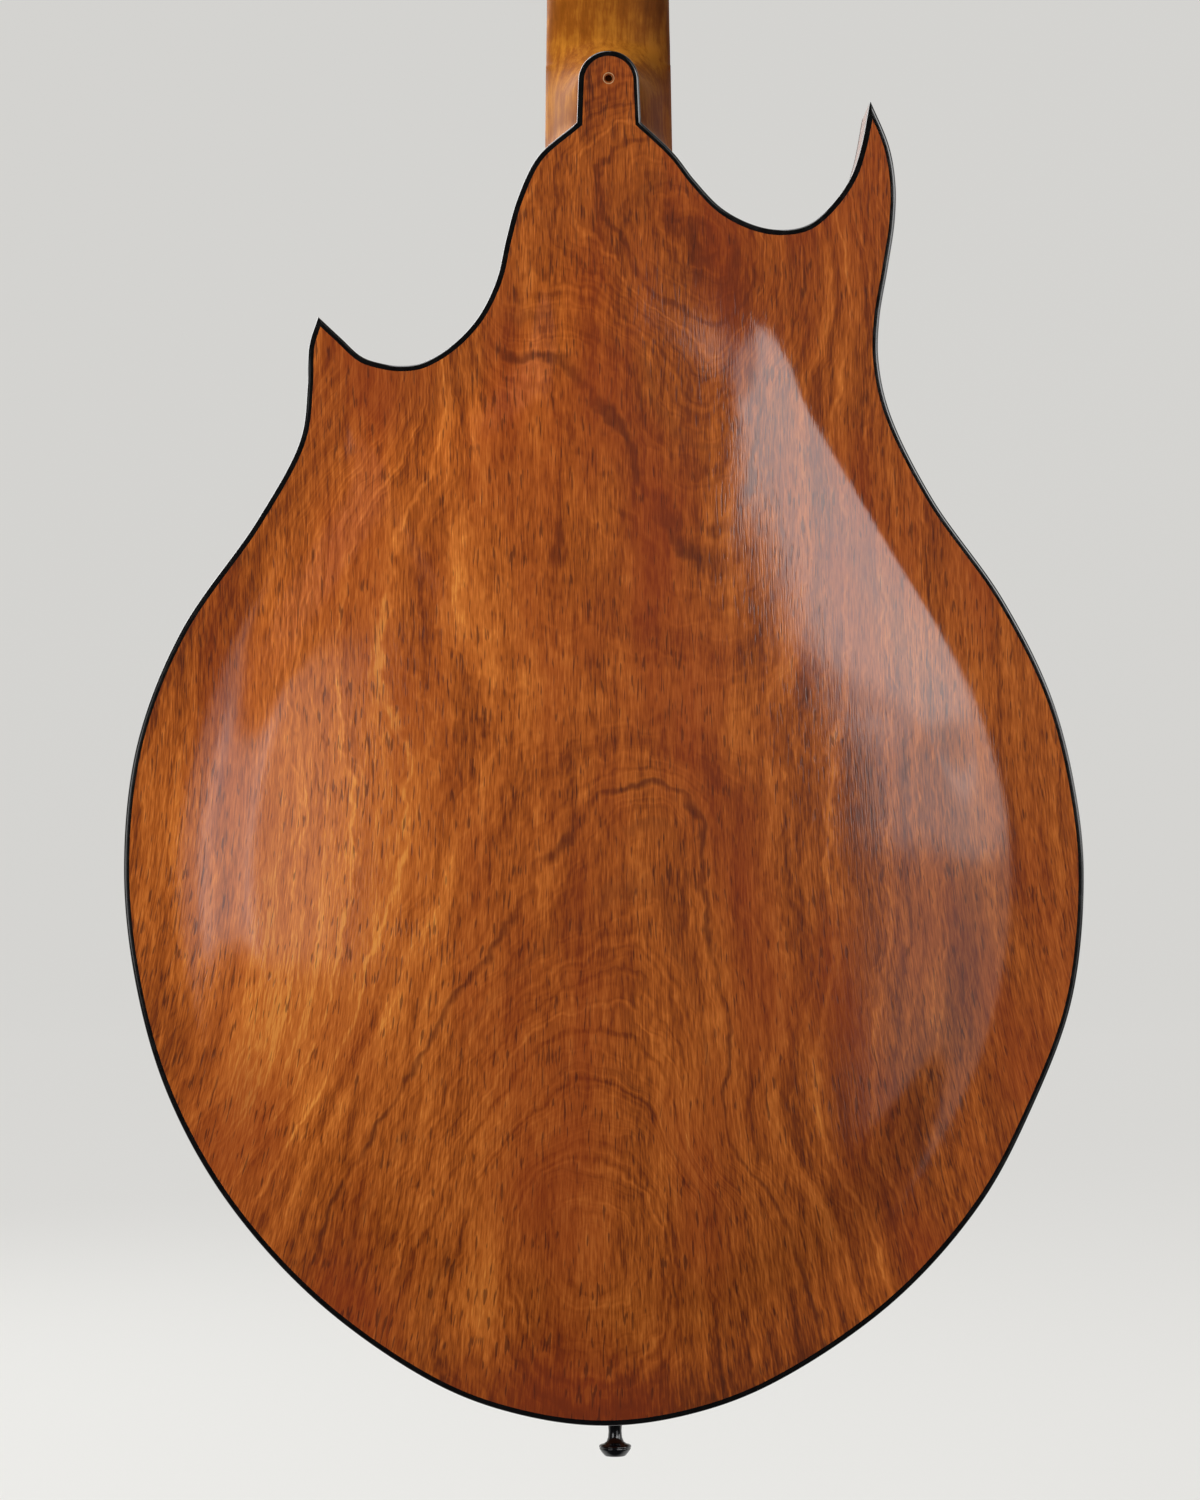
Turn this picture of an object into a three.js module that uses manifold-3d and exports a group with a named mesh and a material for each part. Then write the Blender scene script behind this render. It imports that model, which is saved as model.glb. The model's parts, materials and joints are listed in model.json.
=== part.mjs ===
// Mandola with carved, arched plates, two points, an adjustable bridge and open-geared tuners.
// Millimetres. It hangs by its head: +Z runs up the neck, the back faces -Y and the bass side is +X.
// The origin is the middle of the nut line, on the face of the neck that the fretboard is glued to.
import * as THREE from 'three';
import { mergeVertices } from 'three/addons/utils/BufferGeometryUtils.js';
import Module from 'manifold-3d';

const wasm = await Module();
wasm.setup();
const degrees = THREE.MathUtils.degToRad;
const lerp = THREE.MathUtils.lerp;

// Driving dimensions
const scale_length = 420;
const body_joint_fret = 14;
const fret_count = 22;
const body_width = 282;
const body_length = 382.5;
const shoulder_rise = 9.1;
const rib_height = 40;
const plate_edge = 4.5;
const back_arch = 13;
const top_arch = 15;
const neck_lift = 4;
const board_thickness = 5.7;
const fret_height = 1;
const string_height = 3.5;
const bridge_height = 17.4;
const nut_width = 31.5;
const joint_width = 38.5;
const head_tilt = degrees(13);
const head_length = 138;
const head_width = 62;
const head_thickness = 14;
const course_count = 4;
const thickest_string = 1.24;
const string_thickness_shares = [1, 0.69, 0.47, 0.29];
const string_letters = ['c', 'g', 'd', 'a'];

// Fits
const glue_gap = 0.3;
const run_gap = 0.35;
const overrun = 3;

// How finely round shapes are cut
const fine_sides = 16;
const round_sides = 12;
const small_sides = 8;
const hex_sides = 6;
const string_sides = 5;

// The neck leans back so far that the strings pass over the arch at the height of the bridge
const joint_reach = scale_length * (1 - 2 ** (-body_joint_fret / 12));
const fret_top = glue_gap + board_thickness + fret_height;
const saddle_reach = scale_length - joint_reach;
const saddle_rise = fret_top + string_height;
const neck_pitch = Math.asin(
  (bridge_height + top_arch - neck_lift) / Math.hypot(saddle_reach, saddle_rise))
  - Math.atan2(saddle_rise, saddle_reach);

// Places that several pieces share
const half_width = body_width / 2;
const joint_z = -joint_reach * Math.cos(neck_pitch);
const joint_y = joint_reach * Math.sin(neck_pitch);
const shoulder_z = joint_z + shoulder_rise;
const top_face_y = joint_y - neck_lift;
const top_glue_y = top_face_y - plate_edge;
const back_glue_y = top_glue_y - rib_height;
const back_face_y = back_glue_y - plate_edge;
const pin_y = (top_glue_y + back_glue_y) / 2;

const finishes = {
  back_wood: { color: 0xa8551f, roughness: 0.25, metalness: 0 },
  spruce: { color: 0xd9a866, roughness: 0.3, metalness: 0 },
  plain_wood: { color: 0xd8b888, roughness: 0.7, metalness: 0 },
  maple: { color: 0xb8782c, roughness: 0.3, metalness: 0 },
  black_binding: { color: 0x101010, roughness: 0.2, metalness: 0 },
  ebony: { color: 0x1c1714, roughness: 0.4, metalness: 0 },
  bone: { color: 0xe8dfc8, roughness: 0.4, metalness: 0 },
  black_metal: { color: 0x1b1c1f, roughness: 0.25, metalness: 0.6 },
  nickel: { color: 0xc8c6c0, roughness: 0.2, metalness: 1 },
  brass: { color: 0xc9a24a, roughness: 0.3, metalness: 1 },
  steel: { color: 0xa9adb2, roughness: 0.3, metalness: 1 },
  bronze: { color: 0xb07a45, roughness: 0.35, metalness: 1 },
  pearl: { color: 0xe9e4da, roughness: 0.25, metalness: 0 },
};

const mandola = new THREE.Group();
const neck_group = new THREE.Group();
neck_group.rotation.x = neck_pitch;
mandola.add(neck_group);
const head_group = new THREE.Group();
const nut_thickness = 5;
head_group.position.z = nut_thickness;
head_group.rotation.x = head_tilt;
neck_group.add(head_group);
mandola.updateMatrixWorld(true);
const neck_matrix = neck_group.matrixWorld;
const head_matrix = head_group.matrixWorld;

// A closed geometry as a solid that can be cut and joined
function solidOf(geometry) {
  const bare = geometry.clone();
  bare.deleteAttribute('normal');
  bare.deleteAttribute('uv');
  const merged = mergeVertices(bare);
  return new wasm.Manifold(new wasm.Mesh({
    numProp: 3,
    vertProperties: new Float32Array(merged.attributes.position.array),
    triVerts: new Uint32Array(merged.index.array),
  }));
}

function geometryOf(solid) {
  const mesh = solid.getMesh();
  const geometry = new THREE.BufferGeometry();
  geometry.setAttribute('position', new THREE.BufferAttribute(mesh.vertProperties, 3));
  geometry.setIndex(new THREE.BufferAttribute(mesh.triVerts, 1));
  const faceted = geometry.toNonIndexed();
  faceted.computeVertexNormals();
  return faceted;
}

function addPiece(parent, name, solid, finish) {
  const material = new THREE.MeshStandardMaterial(finishes[finish]);
  const mesh = new THREE.Mesh(geometryOf(solid), material);
  mesh.name = name;
  parent.add(mesh);
  return mesh;
}

function outlineShape(points) {
  return new THREE.Shape(points.map(([across, along]) => new THREE.Vector2(across, along)));
}

// Flat outlines given a thickness: drawn in X and Z and thick along Y, or the other two ways
function slabY(points, low, high) {
  const geometry = new THREE.ExtrudeGeometry(outlineShape(points), {
    depth: high - low, bevelEnabled: false });
  geometry.rotateX(Math.PI / 2);
  geometry.translate(0, high, 0);
  return solidOf(geometry);
}

function slabZ(points, low, high) {
  const geometry = new THREE.ExtrudeGeometry(outlineShape(points), {
    depth: high - low, bevelEnabled: false });
  geometry.translate(0, 0, low);
  return solidOf(geometry);
}

// The outline of a slab along X is drawn as [z, y]
function slabX(points, low, high) {
  const geometry = new THREE.ExtrudeGeometry(outlineShape(points), {
    depth: high - low, bevelEnabled: false });
  geometry.rotateY(-Math.PI / 2);
  geometry.translate(high, 0, 0);
  return solidOf(geometry);
}

function block(low, high) {
  const geometry = new THREE.BoxGeometry(high[0] - low[0], high[1] - low[1], high[2] - low[2]);
  geometry.translate((low[0] + high[0]) / 2, (low[1] + high[1]) / 2, (low[2] + high[2]) / 2);
  return solidOf(geometry);
}

// Round bars from low to high along one axis, centred on the other two coordinates
function barY(radius, low, high, x, z, sides = round_sides) {
  const geometry = new THREE.CylinderGeometry(radius, radius, high - low, sides);
  geometry.translate(x, (low + high) / 2, z);
  return solidOf(geometry);
}

function barX(radius, low, high, y, z, sides = round_sides) {
  const geometry = new THREE.CylinderGeometry(radius, radius, high - low, sides);
  geometry.rotateZ(Math.PI / 2);
  geometry.translate((low + high) / 2, y, z);
  return solidOf(geometry);
}

function barZ(radius, low, high, x, y, sides = round_sides) {
  const geometry = new THREE.CylinderGeometry(radius, radius, high - low, sides);
  geometry.rotateX(Math.PI / 2);
  geometry.translate(x, y, (low + high) / 2);
  return solidOf(geometry);
}

// Rings of equally many points, skinned in order and closed at both ends
function loftGeometry(rings) {
  const count = rings[0].length;
  const corners = rings.flat();
  const faces = [];
  for (let ring = 0; ring + 1 < rings.length; ring += 1) {
    const here = ring * count;
    const there = here + count;
    for (let step = 0; step < count; step += 1) {
      const next = (step + 1) % count;
      faces.push([here + step, here + next, there + next]);
      faces.push([here + step, there + next, there + step]);
    }
  }
  const last = (rings.length - 1) * count;
  for (const [start, forward] of [[0, false], [last, true]]) {
    const middle = new THREE.Vector3();
    for (let step = 0; step < count; step += 1) {
      middle.addScaledVector(corners[start + step], 1 / count);
    }
    const hub = corners.push(middle) - 1;
    for (let step = 0; step < count; step += 1) {
      const next = (step + 1) % count;
      const pair = forward ? [start + step, start + next] : [start + next, start + step];
      faces.push([hub, ...pair]);
    }
  }
  const volume = faces.reduce((sum, [a, b, c]) => (
    sum + corners[a].dot(new THREE.Vector3().crossVectors(corners[b], corners[c]))), 0);
  const turned = volume < 0 ? faces.map(([a, b, c]) => [a, c, b]) : faces;
  const geometry = new THREE.BufferGeometry().setFromPoints(corners);
  geometry.setIndex(turned.flat());
  return geometry;
}

function loft(rings) {
  return solidOf(loftGeometry(rings));
}

// Body outline, as shares of half the width and of the length down from the button's corners
const bass_bay_shares = [
  [0.135, 0.024], [0.179, 0.045], [0.237, 0.067], [0.307, 0.08], [0.365, 0.083],
  [0.415, 0.079], [0.463, 0.064], [0.503, 0.043], [0.524, 0.021], [0.544, -0.016],
];
const flank_shares = [
  [0.544, -0.016], [0.583, 0.019], [0.596, 0.048], [0.594, 0.077], [0.579, 0.113],
  [0.561, 0.152], [0.559, 0.184], [0.582, 0.224], [0.67, 0.29], [0.815, 0.367], [0.916, 0.443],
  [0.967, 0.52], [0.981, 0.585], [0.954, 0.676], [0.87, 0.758], [0.761, 0.832], [0.577, 0.907],
  [0.324, 0.969], [0.151, 0.992], [-0.019, 1], [-0.19, 0.992], [-0.364, 0.969], [-0.609, 0.907],
  [-0.801, 0.829], [-0.923, 0.749], [-0.989, 0.668], [-1.017, 0.574], [-0.988, 0.475],
  [-0.896, 0.389], [-0.734, 0.303], [-0.645, 0.242], [-0.63, 0.202], [-0.626, 0.17],
  [-0.607, 0.148],
];
const treble_bay_shares = [
  [-0.607, 0.148], [-0.561, 0.164], [-0.516, 0.179], [-0.476, 0.184], [-0.437, 0.186],
  [-0.393, 0.184], [-0.331, 0.171], [-0.274, 0.149], [-0.235, 0.12], [-0.215, 0.089],
  [-0.191, 0.058], [-0.148, 0.026],
];
const button_corner_half_width = 9.4;
const bay_steps = 13;
const flank_steps = 46;

function bodyPoint([across, down]) {
  return new THREE.Vector3(across * half_width, shoulder_z - down * body_length, 0);
}

function bodyCurve(points, steps) {
  const curve = new THREE.CatmullRomCurve3(points, false, 'centripetal');
  return curve.getPoints(steps).map((point) => [point.x, point.y]);
}

const bass_corner = new THREE.Vector3(button_corner_half_width, shoulder_z, 0);
const treble_corner = new THREE.Vector3(-button_corner_half_width, shoulder_z, 0);
const bass_bay = bodyCurve([bass_corner, ...bass_bay_shares.map(bodyPoint)], bay_steps);
const flank = bodyCurve(flank_shares.map(bodyPoint), flank_steps);
const treble_bay = bodyCurve([...treble_bay_shares.map(bodyPoint), treble_corner], bay_steps);
const sides = [bass_bay, flank, treble_bay];
const body_outline = [...bass_bay, ...flank.slice(1), ...treble_bay.slice(1)];
const tail_z = shoulder_z - body_length;

// A run of points moved sideways towards the inside of the body
const sharpest_bend_share = 0.5;

function moveInward(points, distance) {
  return points.map(([x, z], index) => {
    const before = points[Math.max(index - 1, 0)];
    const after = points[Math.min(index + 1, points.length - 1)];
    const here = new THREE.Vector2(x, z);
    const arriving = new THREE.Vector2(...before).sub(here).negate().normalize();
    const leaving = new THREE.Vector2(...after).sub(here).normalize();
    const heading = arriving.add(leaving).normalize();
    const bend_share = leaving.length() > 0 ? Math.abs(heading.dot(leaving)) : 1;
    const reach = distance / Math.max(bend_share, sharpest_bend_share);
    return [x + heading.y * reach, z - heading.x * reach];
  });
}

// A strip along one side, from outside the body to a depth inside it
function sideStrip(points, depth, low, high) {
  const outer = moveInward(points, -overrun);
  const inner = moveInward(points, depth);
  return slabY([...outer, ...inner.reverse()], low, high);
}

function bodyInside(depth, low, high) {
  let inside = slabY(body_outline, low, high);
  for (const side of sides) {
    inside = inside.subtract(sideStrip(side, depth, low - overrun, high + overrun));
  }
  return inside;
}

// Arch of the plates: rings between an oval crown and a foot that follows the outline
const arch_centre_share = 0.574;
const arch_foot_shares = [
  [0.006, 0.052], [0.137, 0.077], [0.271, 0.107], [0.396, 0.115], [0.489, 0.14], [0.499, 0.19],
  [0.612, 0.301], [0.856, 0.452], [0.918, 0.585], [0.814, 0.748], [0.538, 0.889],
  [-0.019, 0.977], [-0.569, 0.889], [-0.866, 0.741], [-0.955, 0.574], [-0.839, 0.397],
  [-0.583, 0.248], [-0.552, 0.207], [-0.437, 0.212], [-0.308, 0.196], [-0.187, 0.144],
  [-0.123, 0.075],
];
const crown_across_share = 0.93;
const crown_up_share = 0.5;
const crown_down_share = 0.4;
const recurve_share = 0.22;
const arch_spokes = 26;
const arch_ring_shares = [1, 0.95, 0.89, 0.82, 0.72, 0.56, 0.36, 0.12];

const arch_foot = new THREE.CatmullRomCurve3(arch_foot_shares.map(bodyPoint), true, 'centripetal')
  .getPoints(arch_spokes).slice(0, arch_spokes);
const arch_centre = bodyPoint([0, arch_centre_share]);

function archHeight(ring_share) {
  const recurve = THREE.MathUtils.smoothstep(1 - ring_share, 0, recurve_share);
  return (1 - ring_share ** 2) * recurve;
}

function archPlace(foot, ring_share, inset) {
  const spoke = new THREE.Vector2(foot.x - arch_centre.x, foot.y - arch_centre.y);
  const foot_reach = spoke.length() - inset;
  spoke.normalize();
  const crown_along = spoke.y > 0 ? crown_up_share : crown_down_share;
  const crown_reach = 1 / Math.hypot(
    spoke.x / (crown_across_share * half_width),
    spoke.y / (crown_along * body_length));
  const reach = ring_share * lerp(crown_reach, foot_reach, ring_share ** 2);
  return [arch_centre.x + spoke.x * reach, arch_centre.y + spoke.y * reach];
}

// A dome that stands on a glue face: facing is 1 for the top and -1 for the back
function archDome(glue_y, facing, edge, height, inset) {
  const ringAt = (ring_share, rise) => arch_foot.map((foot) => {
    const [x, z] = archPlace(foot, ring_share, inset);
    return new THREE.Vector3(x, glue_y + facing * rise, z);
  });
  const rings = arch_ring_shares.map((share) => ringAt(share, edge + height * archHeight(share)));
  return loft([ringAt(1, -overrun), ...rings]);
}

// A carved plate over an outline: outer dome added, inner dome hollowed out
const plate_middle = 5;
const hollow_inset = 5;

function carvedPlate(outline_solid, glue_y, facing, arch) {
  const plate_low = Math.min(glue_y, glue_y + facing * plate_edge);
  const beyond = half_width + body_length;
  const keep = block(
    [-beyond, facing > 0 ? plate_low : plate_low - beyond, -beyond - body_length],
    [beyond, facing > 0 ? plate_low + beyond : plate_low + plate_edge, beyond]);
  const dome = archDome(glue_y, facing, plate_edge, arch, 0).intersect(keep);
  const hollow = archDome(glue_y, facing, 0, arch + plate_edge - plate_middle, hollow_inset);
  return outline_solid.add(dome).subtract(hollow);
}

// Heel button at the top of the back
const button_reach = 21.1;
const button_waist = 8.9;
const button_screw_drop = 8.2;
const button_screw_radius = 1.1;
const button_arc_steps = 10;
const button_top_z = shoulder_z + button_reach;
const button_screw_z = button_top_z - button_screw_drop;

function buttonOutline(inset) {
  const arc_radius = button_waist - inset;
  const arc_z = button_top_z - button_waist;
  const points = [[button_corner_half_width - inset, shoulder_z]];
  for (let step = 0; step <= button_arc_steps; step += 1) {
    const angle = Math.PI * step / button_arc_steps;
    points.push([arc_radius * Math.cos(angle), arc_z + arc_radius * Math.sin(angle)]);
  }
  points.push([-button_corner_half_width + inset, shoulder_z]);
  points.push([-button_corner_half_width + inset, shoulder_z - shoulder_rise]);
  points.push([button_corner_half_width - inset, shoulder_z - shoulder_rise]);
  return points;
}

// Plates and bindings
const binding_width = 1.5;
const neck_side = joint_width / 2 + glue_gap;

function backRegion(inset, low, high) {
  const corner_low = low - overrun;
  const corner_high = high + overrun;
  return bodyInside(inset, low, high)
    .add(slabY(buttonOutline(inset), low, high))
    .subtract(barY(inset, corner_low, corner_high, button_corner_half_width, shoulder_z))
    .subtract(barY(inset, corner_low, corner_high, -button_corner_half_width, shoulder_z));
}

function neckPocket(low, high) {
  return block([-neck_side, low, joint_z - glue_gap], [neck_side, high, joint_z + body_length]);
}

function screwHole(low, high) {
  return barY(button_screw_radius, low, high, 0, button_screw_z, small_sides);
}

const back_region = backRegion(binding_width + glue_gap, back_face_y, back_glue_y);
const back_plate = carvedPlate(back_region, back_glue_y, -1, back_arch)
  .subtract(screwHole(back_face_y - overrun, back_glue_y + overrun));
addPiece(mandola, 'back_plate', back_plate, 'back_wood');

const back_whole = slabY(body_outline, back_face_y, back_glue_y)
  .add(slabY(buttonOutline(0), back_face_y, back_glue_y));
const back_binding = back_whole.subtract(
  backRegion(binding_width, back_face_y - overrun, back_glue_y + overrun));
addPiece(mandola, 'back_binding', back_binding, 'black_binding');

// Sound holes: a stem that sweeps between two eyes, with its nicks at the middle
const hole_across_share = 0.43;
const hole_middle_share = 0.5;
const hole_length = 92;
const hole_upper_eye = 4.6;
const hole_lower_eye = 5.8;
const hole_stem = 7;
const hole_tip = 3;
const hole_sweep = 9;
const hole_lean = 7;
const hole_steps = 8;

function soundHole(side) {
  const middle_x = side * hole_across_share * half_width;
  const middle_z = shoulder_z - hole_middle_share * body_length;
  const left_edge = [];
  const right_edge = [];
  for (let step = 0; step <= hole_steps; step += 1) {
    const along = 2 * step / hole_steps - 1;
    const bend = hole_sweep * Math.sin(along * Math.PI / 2) ** 3 - hole_lean * along;
    const x = middle_x - side * bend;
    const z = middle_z + along * hole_length / 2;
    const half_stem = lerp(hole_stem, hole_tip, along ** 2) / 2;
    left_edge.push([x - half_stem, z]);
    right_edge.push([x + half_stem, z]);
  }
  const low = top_glue_y - overrun;
  const high = top_face_y + top_arch + overrun;
  const [upper_x, upper_z] = left_edge[hole_steps];
  const [lower_x, lower_z] = left_edge[0];
  const stem = slabY([...left_edge, ...right_edge.reverse()], low, high);
  const upper_eye = barY(hole_upper_eye, low, high, upper_x - side * hole_upper_eye / 2, upper_z);
  const lower_eye = barY(hole_lower_eye, low, high, lower_x + side * hole_lower_eye / 2, lower_z);
  return stem.add(upper_eye).add(lower_eye);
}

const top_region = bodyInside(binding_width + glue_gap, top_glue_y, top_face_y);
const top_plate = carvedPlate(top_region, top_glue_y, 1, top_arch)
  .subtract(neckPocket(top_glue_y - overrun, top_face_y + top_arch))
  .subtract(soundHole(1))
  .subtract(soundHole(-1));
addPiece(mandola, 'top_plate', top_plate, 'spruce');

const top_binding = slabY(body_outline, top_glue_y, top_face_y)
  .subtract(bodyInside(binding_width, top_glue_y - overrun, top_face_y + overrun))
  .subtract(neckPocket(top_glue_y - overrun, top_face_y + overrun));
addPiece(mandola, 'top_binding', top_binding, 'black_binding');

// Ribs, butted at the points, the tail and the neck
const rib_thickness = 2.2;
const pin_hole_radius = 3.8;
const tail_block_length = 16;
const neck_block_length = 38;
const neck_block_end = joint_z - neck_block_length;
const body_block = slabY(body_outline, back_glue_y, top_glue_y);
const beside = body_width;
const far_z = tail_z - overrun;
const pin_hole = barZ(
  pin_hole_radius, far_z - overrun, tail_z + tail_block_length + overrun, 0, pin_y);
const flank_wall = sideStrip(flank, rib_thickness, back_glue_y, top_glue_y)
  .intersect(body_block)
  .subtract(pin_hole);
const bass_half = block([0, back_glue_y, far_z], [beside, top_glue_y, 0]);
const treble_half = block([-beside, back_glue_y, far_z], [0, top_glue_y, 0]);
addPiece(mandola, 'bass_rib', flank_wall.intersect(bass_half), 'back_wood');
addPiece(mandola, 'treble_rib', flank_wall.intersect(treble_half), 'back_wood');

const flank_cut = sideStrip(
  flank, rib_thickness + glue_gap, back_glue_y - overrun, top_glue_y + overrun);
const neck_cut = block(
  [-neck_side, back_glue_y - overrun, neck_block_end],
  [neck_side, top_glue_y + overrun, 0]);
for (const [name, bay] of [['bass_cutaway_rib', bass_bay], ['treble_cutaway_rib', treble_bay]]) {
  const wall = sideStrip(bay, rib_thickness, back_glue_y, top_glue_y)
    .intersect(body_block)
    .subtract(flank_cut)
    .subtract(neck_cut);
  addPiece(mandola, name, wall, 'back_wood');
}

// Linings: one strip under each plate, let into the blocks and stopped at the neck block
const lining_width = 5;
const lining_height = 7;
const neck_block_half_width = 24;
const tail_block_half_width = 30;
const inside_depth = rib_thickness + glue_gap;

function lining(low, high, slack) {
  const outer = bodyInside(inside_depth - slack, low, high);
  const inner = bodyInside(inside_depth + lining_width + slack, low - overrun, high + overrun);
  return outer.subtract(inner);
}

const neck_block_space = block(
  [-neck_block_half_width - glue_gap, back_glue_y - overrun, neck_block_end - glue_gap],
  [neck_block_half_width + glue_gap, top_glue_y + overrun, 0]);
const back_lining = lining(back_glue_y, back_glue_y + lining_height, 0)
  .subtract(neck_block_space);
const top_lining = lining(top_glue_y - lining_height, top_glue_y, 0).subtract(neck_block_space);
addPiece(mandola, 'back_lining', back_lining, 'plain_wood');
addPiece(mandola, 'top_lining', top_lining, 'plain_wood');

// Blocks
const body_inside = bodyInside(inside_depth, back_glue_y, top_glue_y);
const lining_notch = lining(back_glue_y - overrun, back_glue_y + lining_height + glue_gap, glue_gap)
  .add(lining(top_glue_y - lining_height - glue_gap, top_glue_y + overrun, glue_gap));

function cornerBlock([near_across, near_down], [far_across, far_down]) {
  const near = bodyPoint([near_across, near_down]);
  const far = bodyPoint([far_across, far_down]);
  const corner = block(
    [Math.min(near.x, far.x), back_glue_y, Math.min(near.y, far.y)],
    [Math.max(near.x, far.x), top_glue_y, Math.max(near.y, far.y)]);
  return body_inside.intersect(corner).subtract(lining_notch);
}

const bass_point_block_shares = [[0.46, 0.16], [0.65, -0.03]];
const treble_point_block_shares = [[-0.49, 0.225], [-0.68, 0.14]];
addPiece(mandola, 'bass_point_block', cornerBlock(...bass_point_block_shares), 'plain_wood');
addPiece(mandola, 'treble_point_block', cornerBlock(...treble_point_block_shares), 'plain_wood');

const tail_block = body_inside
  .intersect(block(
    [-tail_block_half_width, back_glue_y, far_z],
    [tail_block_half_width, top_glue_y, tail_z + tail_block_length]))
  .subtract(lining_notch)
  .subtract(pin_hole);
addPiece(mandola, 'tail_block', tail_block, 'plain_wood');

const tenon_length = 16;
const tenon_half_width = 7;
const tenon_flare = 2;

function tenon(slack, low, high) {
  const root = tenon_half_width + slack;
  const end = tenon_half_width + tenon_flare + slack;
  const root_z = joint_z + overrun;
  const end_z = joint_z - tenon_length - slack;
  return slabY([[root, root_z], [end, end_z], [-end, end_z], [-root, root_z]], low, high);
}

const neck_block = block(
  [-neck_block_half_width, back_glue_y, neck_block_end],
  [neck_block_half_width, top_glue_y, joint_z - glue_gap])
  .intersect(body_inside.add(block(
    [-neck_side, back_glue_y, neck_block_end], [neck_side, top_glue_y, joint_z])))
  .intersect(body_block)
  .subtract(tenon(glue_gap, back_glue_y - overrun, top_glue_y + overrun));
addPiece(mandola, 'neck_block', neck_block, 'plain_wood');

// Tone bars, fitted under the carved top
const bar_thickness = 6;
const bar_depth = 11;
const bar_half_length_share = 0.29;
const bar_centre_share = 0.6;
const bar_across_share = 0.2;
const bar_splay = degrees(3);
const top_hollow = archDome(
  top_glue_y, 1, 0, top_arch + plate_edge - plate_middle - glue_gap, hollow_inset + glue_gap);

for (const [name, side] of [['bass_tone_bar', 1], ['treble_tone_bar', -1]]) {
  const middle = bodyPoint([side * bar_across_share, bar_centre_share]);
  const half_length = bar_half_length_share * body_length;
  const crown_y = top_glue_y + top_arch;
  const blank = new THREE.BoxGeometry(bar_thickness, 2 * bar_depth, 2 * half_length);
  blank.rotateY(-side * bar_splay);
  blank.translate(middle.x, crown_y - bar_depth, middle.y);
  const shallow = block([-beside, top_glue_y - overrun, far_z], [beside, crown_y + overrun, 0]);
  addPiece(mandola, name, solidOf(blank).intersect(top_hollow).intersect(shallow), 'spruce');
}

// Neck with its heel, tenon and head
const neck_depth_at_nut = 14.5;
const neck_depth_at_joint = 17;
const neck_back_steps = 10;
const neck_flatness = 0.8;
const neck_ring_shares = [-0.02, 0, 0.5, 1.08];

function neckHalfWidth(share) {
  return lerp(nut_width, joint_width, share) / 2;
}

function neckRing(share) {
  const half = neckHalfWidth(share);
  const depth = lerp(neck_depth_at_nut, neck_depth_at_joint, share);
  const points = [];
  for (let step = 0; step <= neck_back_steps; step += 1) {
    const angle = Math.PI * step / neck_back_steps;
    const across = Math.sign(Math.cos(angle)) * Math.abs(Math.cos(angle)) ** neck_flatness;
    const down = Math.sin(angle) ** neck_flatness;
    points.push(new THREE.Vector3(half * across, -depth * down, -share * joint_reach));
  }
  return points.map((point) => point.applyMatrix4(neck_matrix));
}

// Heel, in slices from its cap under the button up to the back of the neck
const heel_slices = 7;
const heel_arc_steps = 6;
const heel_cap_inset = 1.2;
const heel_sweep = 30;
const heel_sweep_power = 3;
const heel_spread_power = 0.7;
const heel_top_share = 0.33;
const heel_top_y = joint_y - heel_top_share * neck_depth_at_joint;

function heelSlice(share) {
  const y = lerp(back_glue_y, heel_top_y, share);
  const spread = share ** heel_spread_power;
  const joint_half = lerp(joint_width / 2 - heel_cap_inset, joint_width / 2, spread);
  const corner_half = lerp(button_corner_half_width - heel_cap_inset, joint_width / 2, spread);
  const waist = lerp(button_waist - heel_cap_inset, joint_width / 2, spread);
  const reach = button_top_z - heel_cap_inset + heel_sweep * share ** heel_sweep_power;
  const points = [new THREE.Vector3(joint_half, y, joint_z)];
  points.push(new THREE.Vector3(corner_half, y, shoulder_z));
  for (let step = 0; step <= heel_arc_steps; step += 1) {
    const angle = Math.PI * step / heel_arc_steps;
    const along = reach - waist + waist * Math.sin(angle);
    points.push(new THREE.Vector3(waist * Math.cos(angle), y, along));
  }
  points.push(new THREE.Vector3(-corner_half, y, shoulder_z));
  points.push(new THREE.Vector3(-joint_half, y, joint_z));
  return points;
}

// Head outline, as shares of half its width and of its length up from the nut
const head_shares = [
  [0.52, 0], [0.62, 0.05], [0.88, 0.13], [0.98, 0.24], [0.97, 0.5], [1, 0.8], [0.93, 0.89],
  [0.66, 0.905], [0.5, 0.95], [0.26, 0.985], [0, 1],
];
const head_steps = 20;
const veneer_thickness = 2;
const veneer_start = 0.8;

function headOutline(start) {
  const curve = new THREE.SplineCurve(head_shares.map(([across, along]) => (
    new THREE.Vector2(across * head_width / 2, along * head_length))));
  const edge = curve.getPoints(head_steps).map((point) => [point.x, Math.max(point.y, start)]);
  const mirrored = edge.slice(0, -1).reverse().map(([x, z]) => [-x, z]);
  return [...edge, ...mirrored];
}

// Tuner layout, in the frame of the head
const tuner_pitch_share = 0.167;
const first_post_share = 0.203;
const tuner_pitch = tuner_pitch_share * head_length;
const first_post = first_post_share * head_length;
const post_across = 20;
const post_radius = 3;
const post_hole_radius = 3.7;

function postPlace(side, index) {
  return [side * post_across, first_post + index * tuner_pitch];
}

function postHoles(radius, low, high) {
  let holes = null;
  for (const side of [1, -1]) {
    for (let index = 0; index < course_count; index += 1) {
      const [x, z] = postPlace(side, index);
      const hole = barY(radius, low, high, x, z, small_sides);
      holes = holes ? holes.add(hole) : hole;
    }
  }
  return holes;
}

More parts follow.
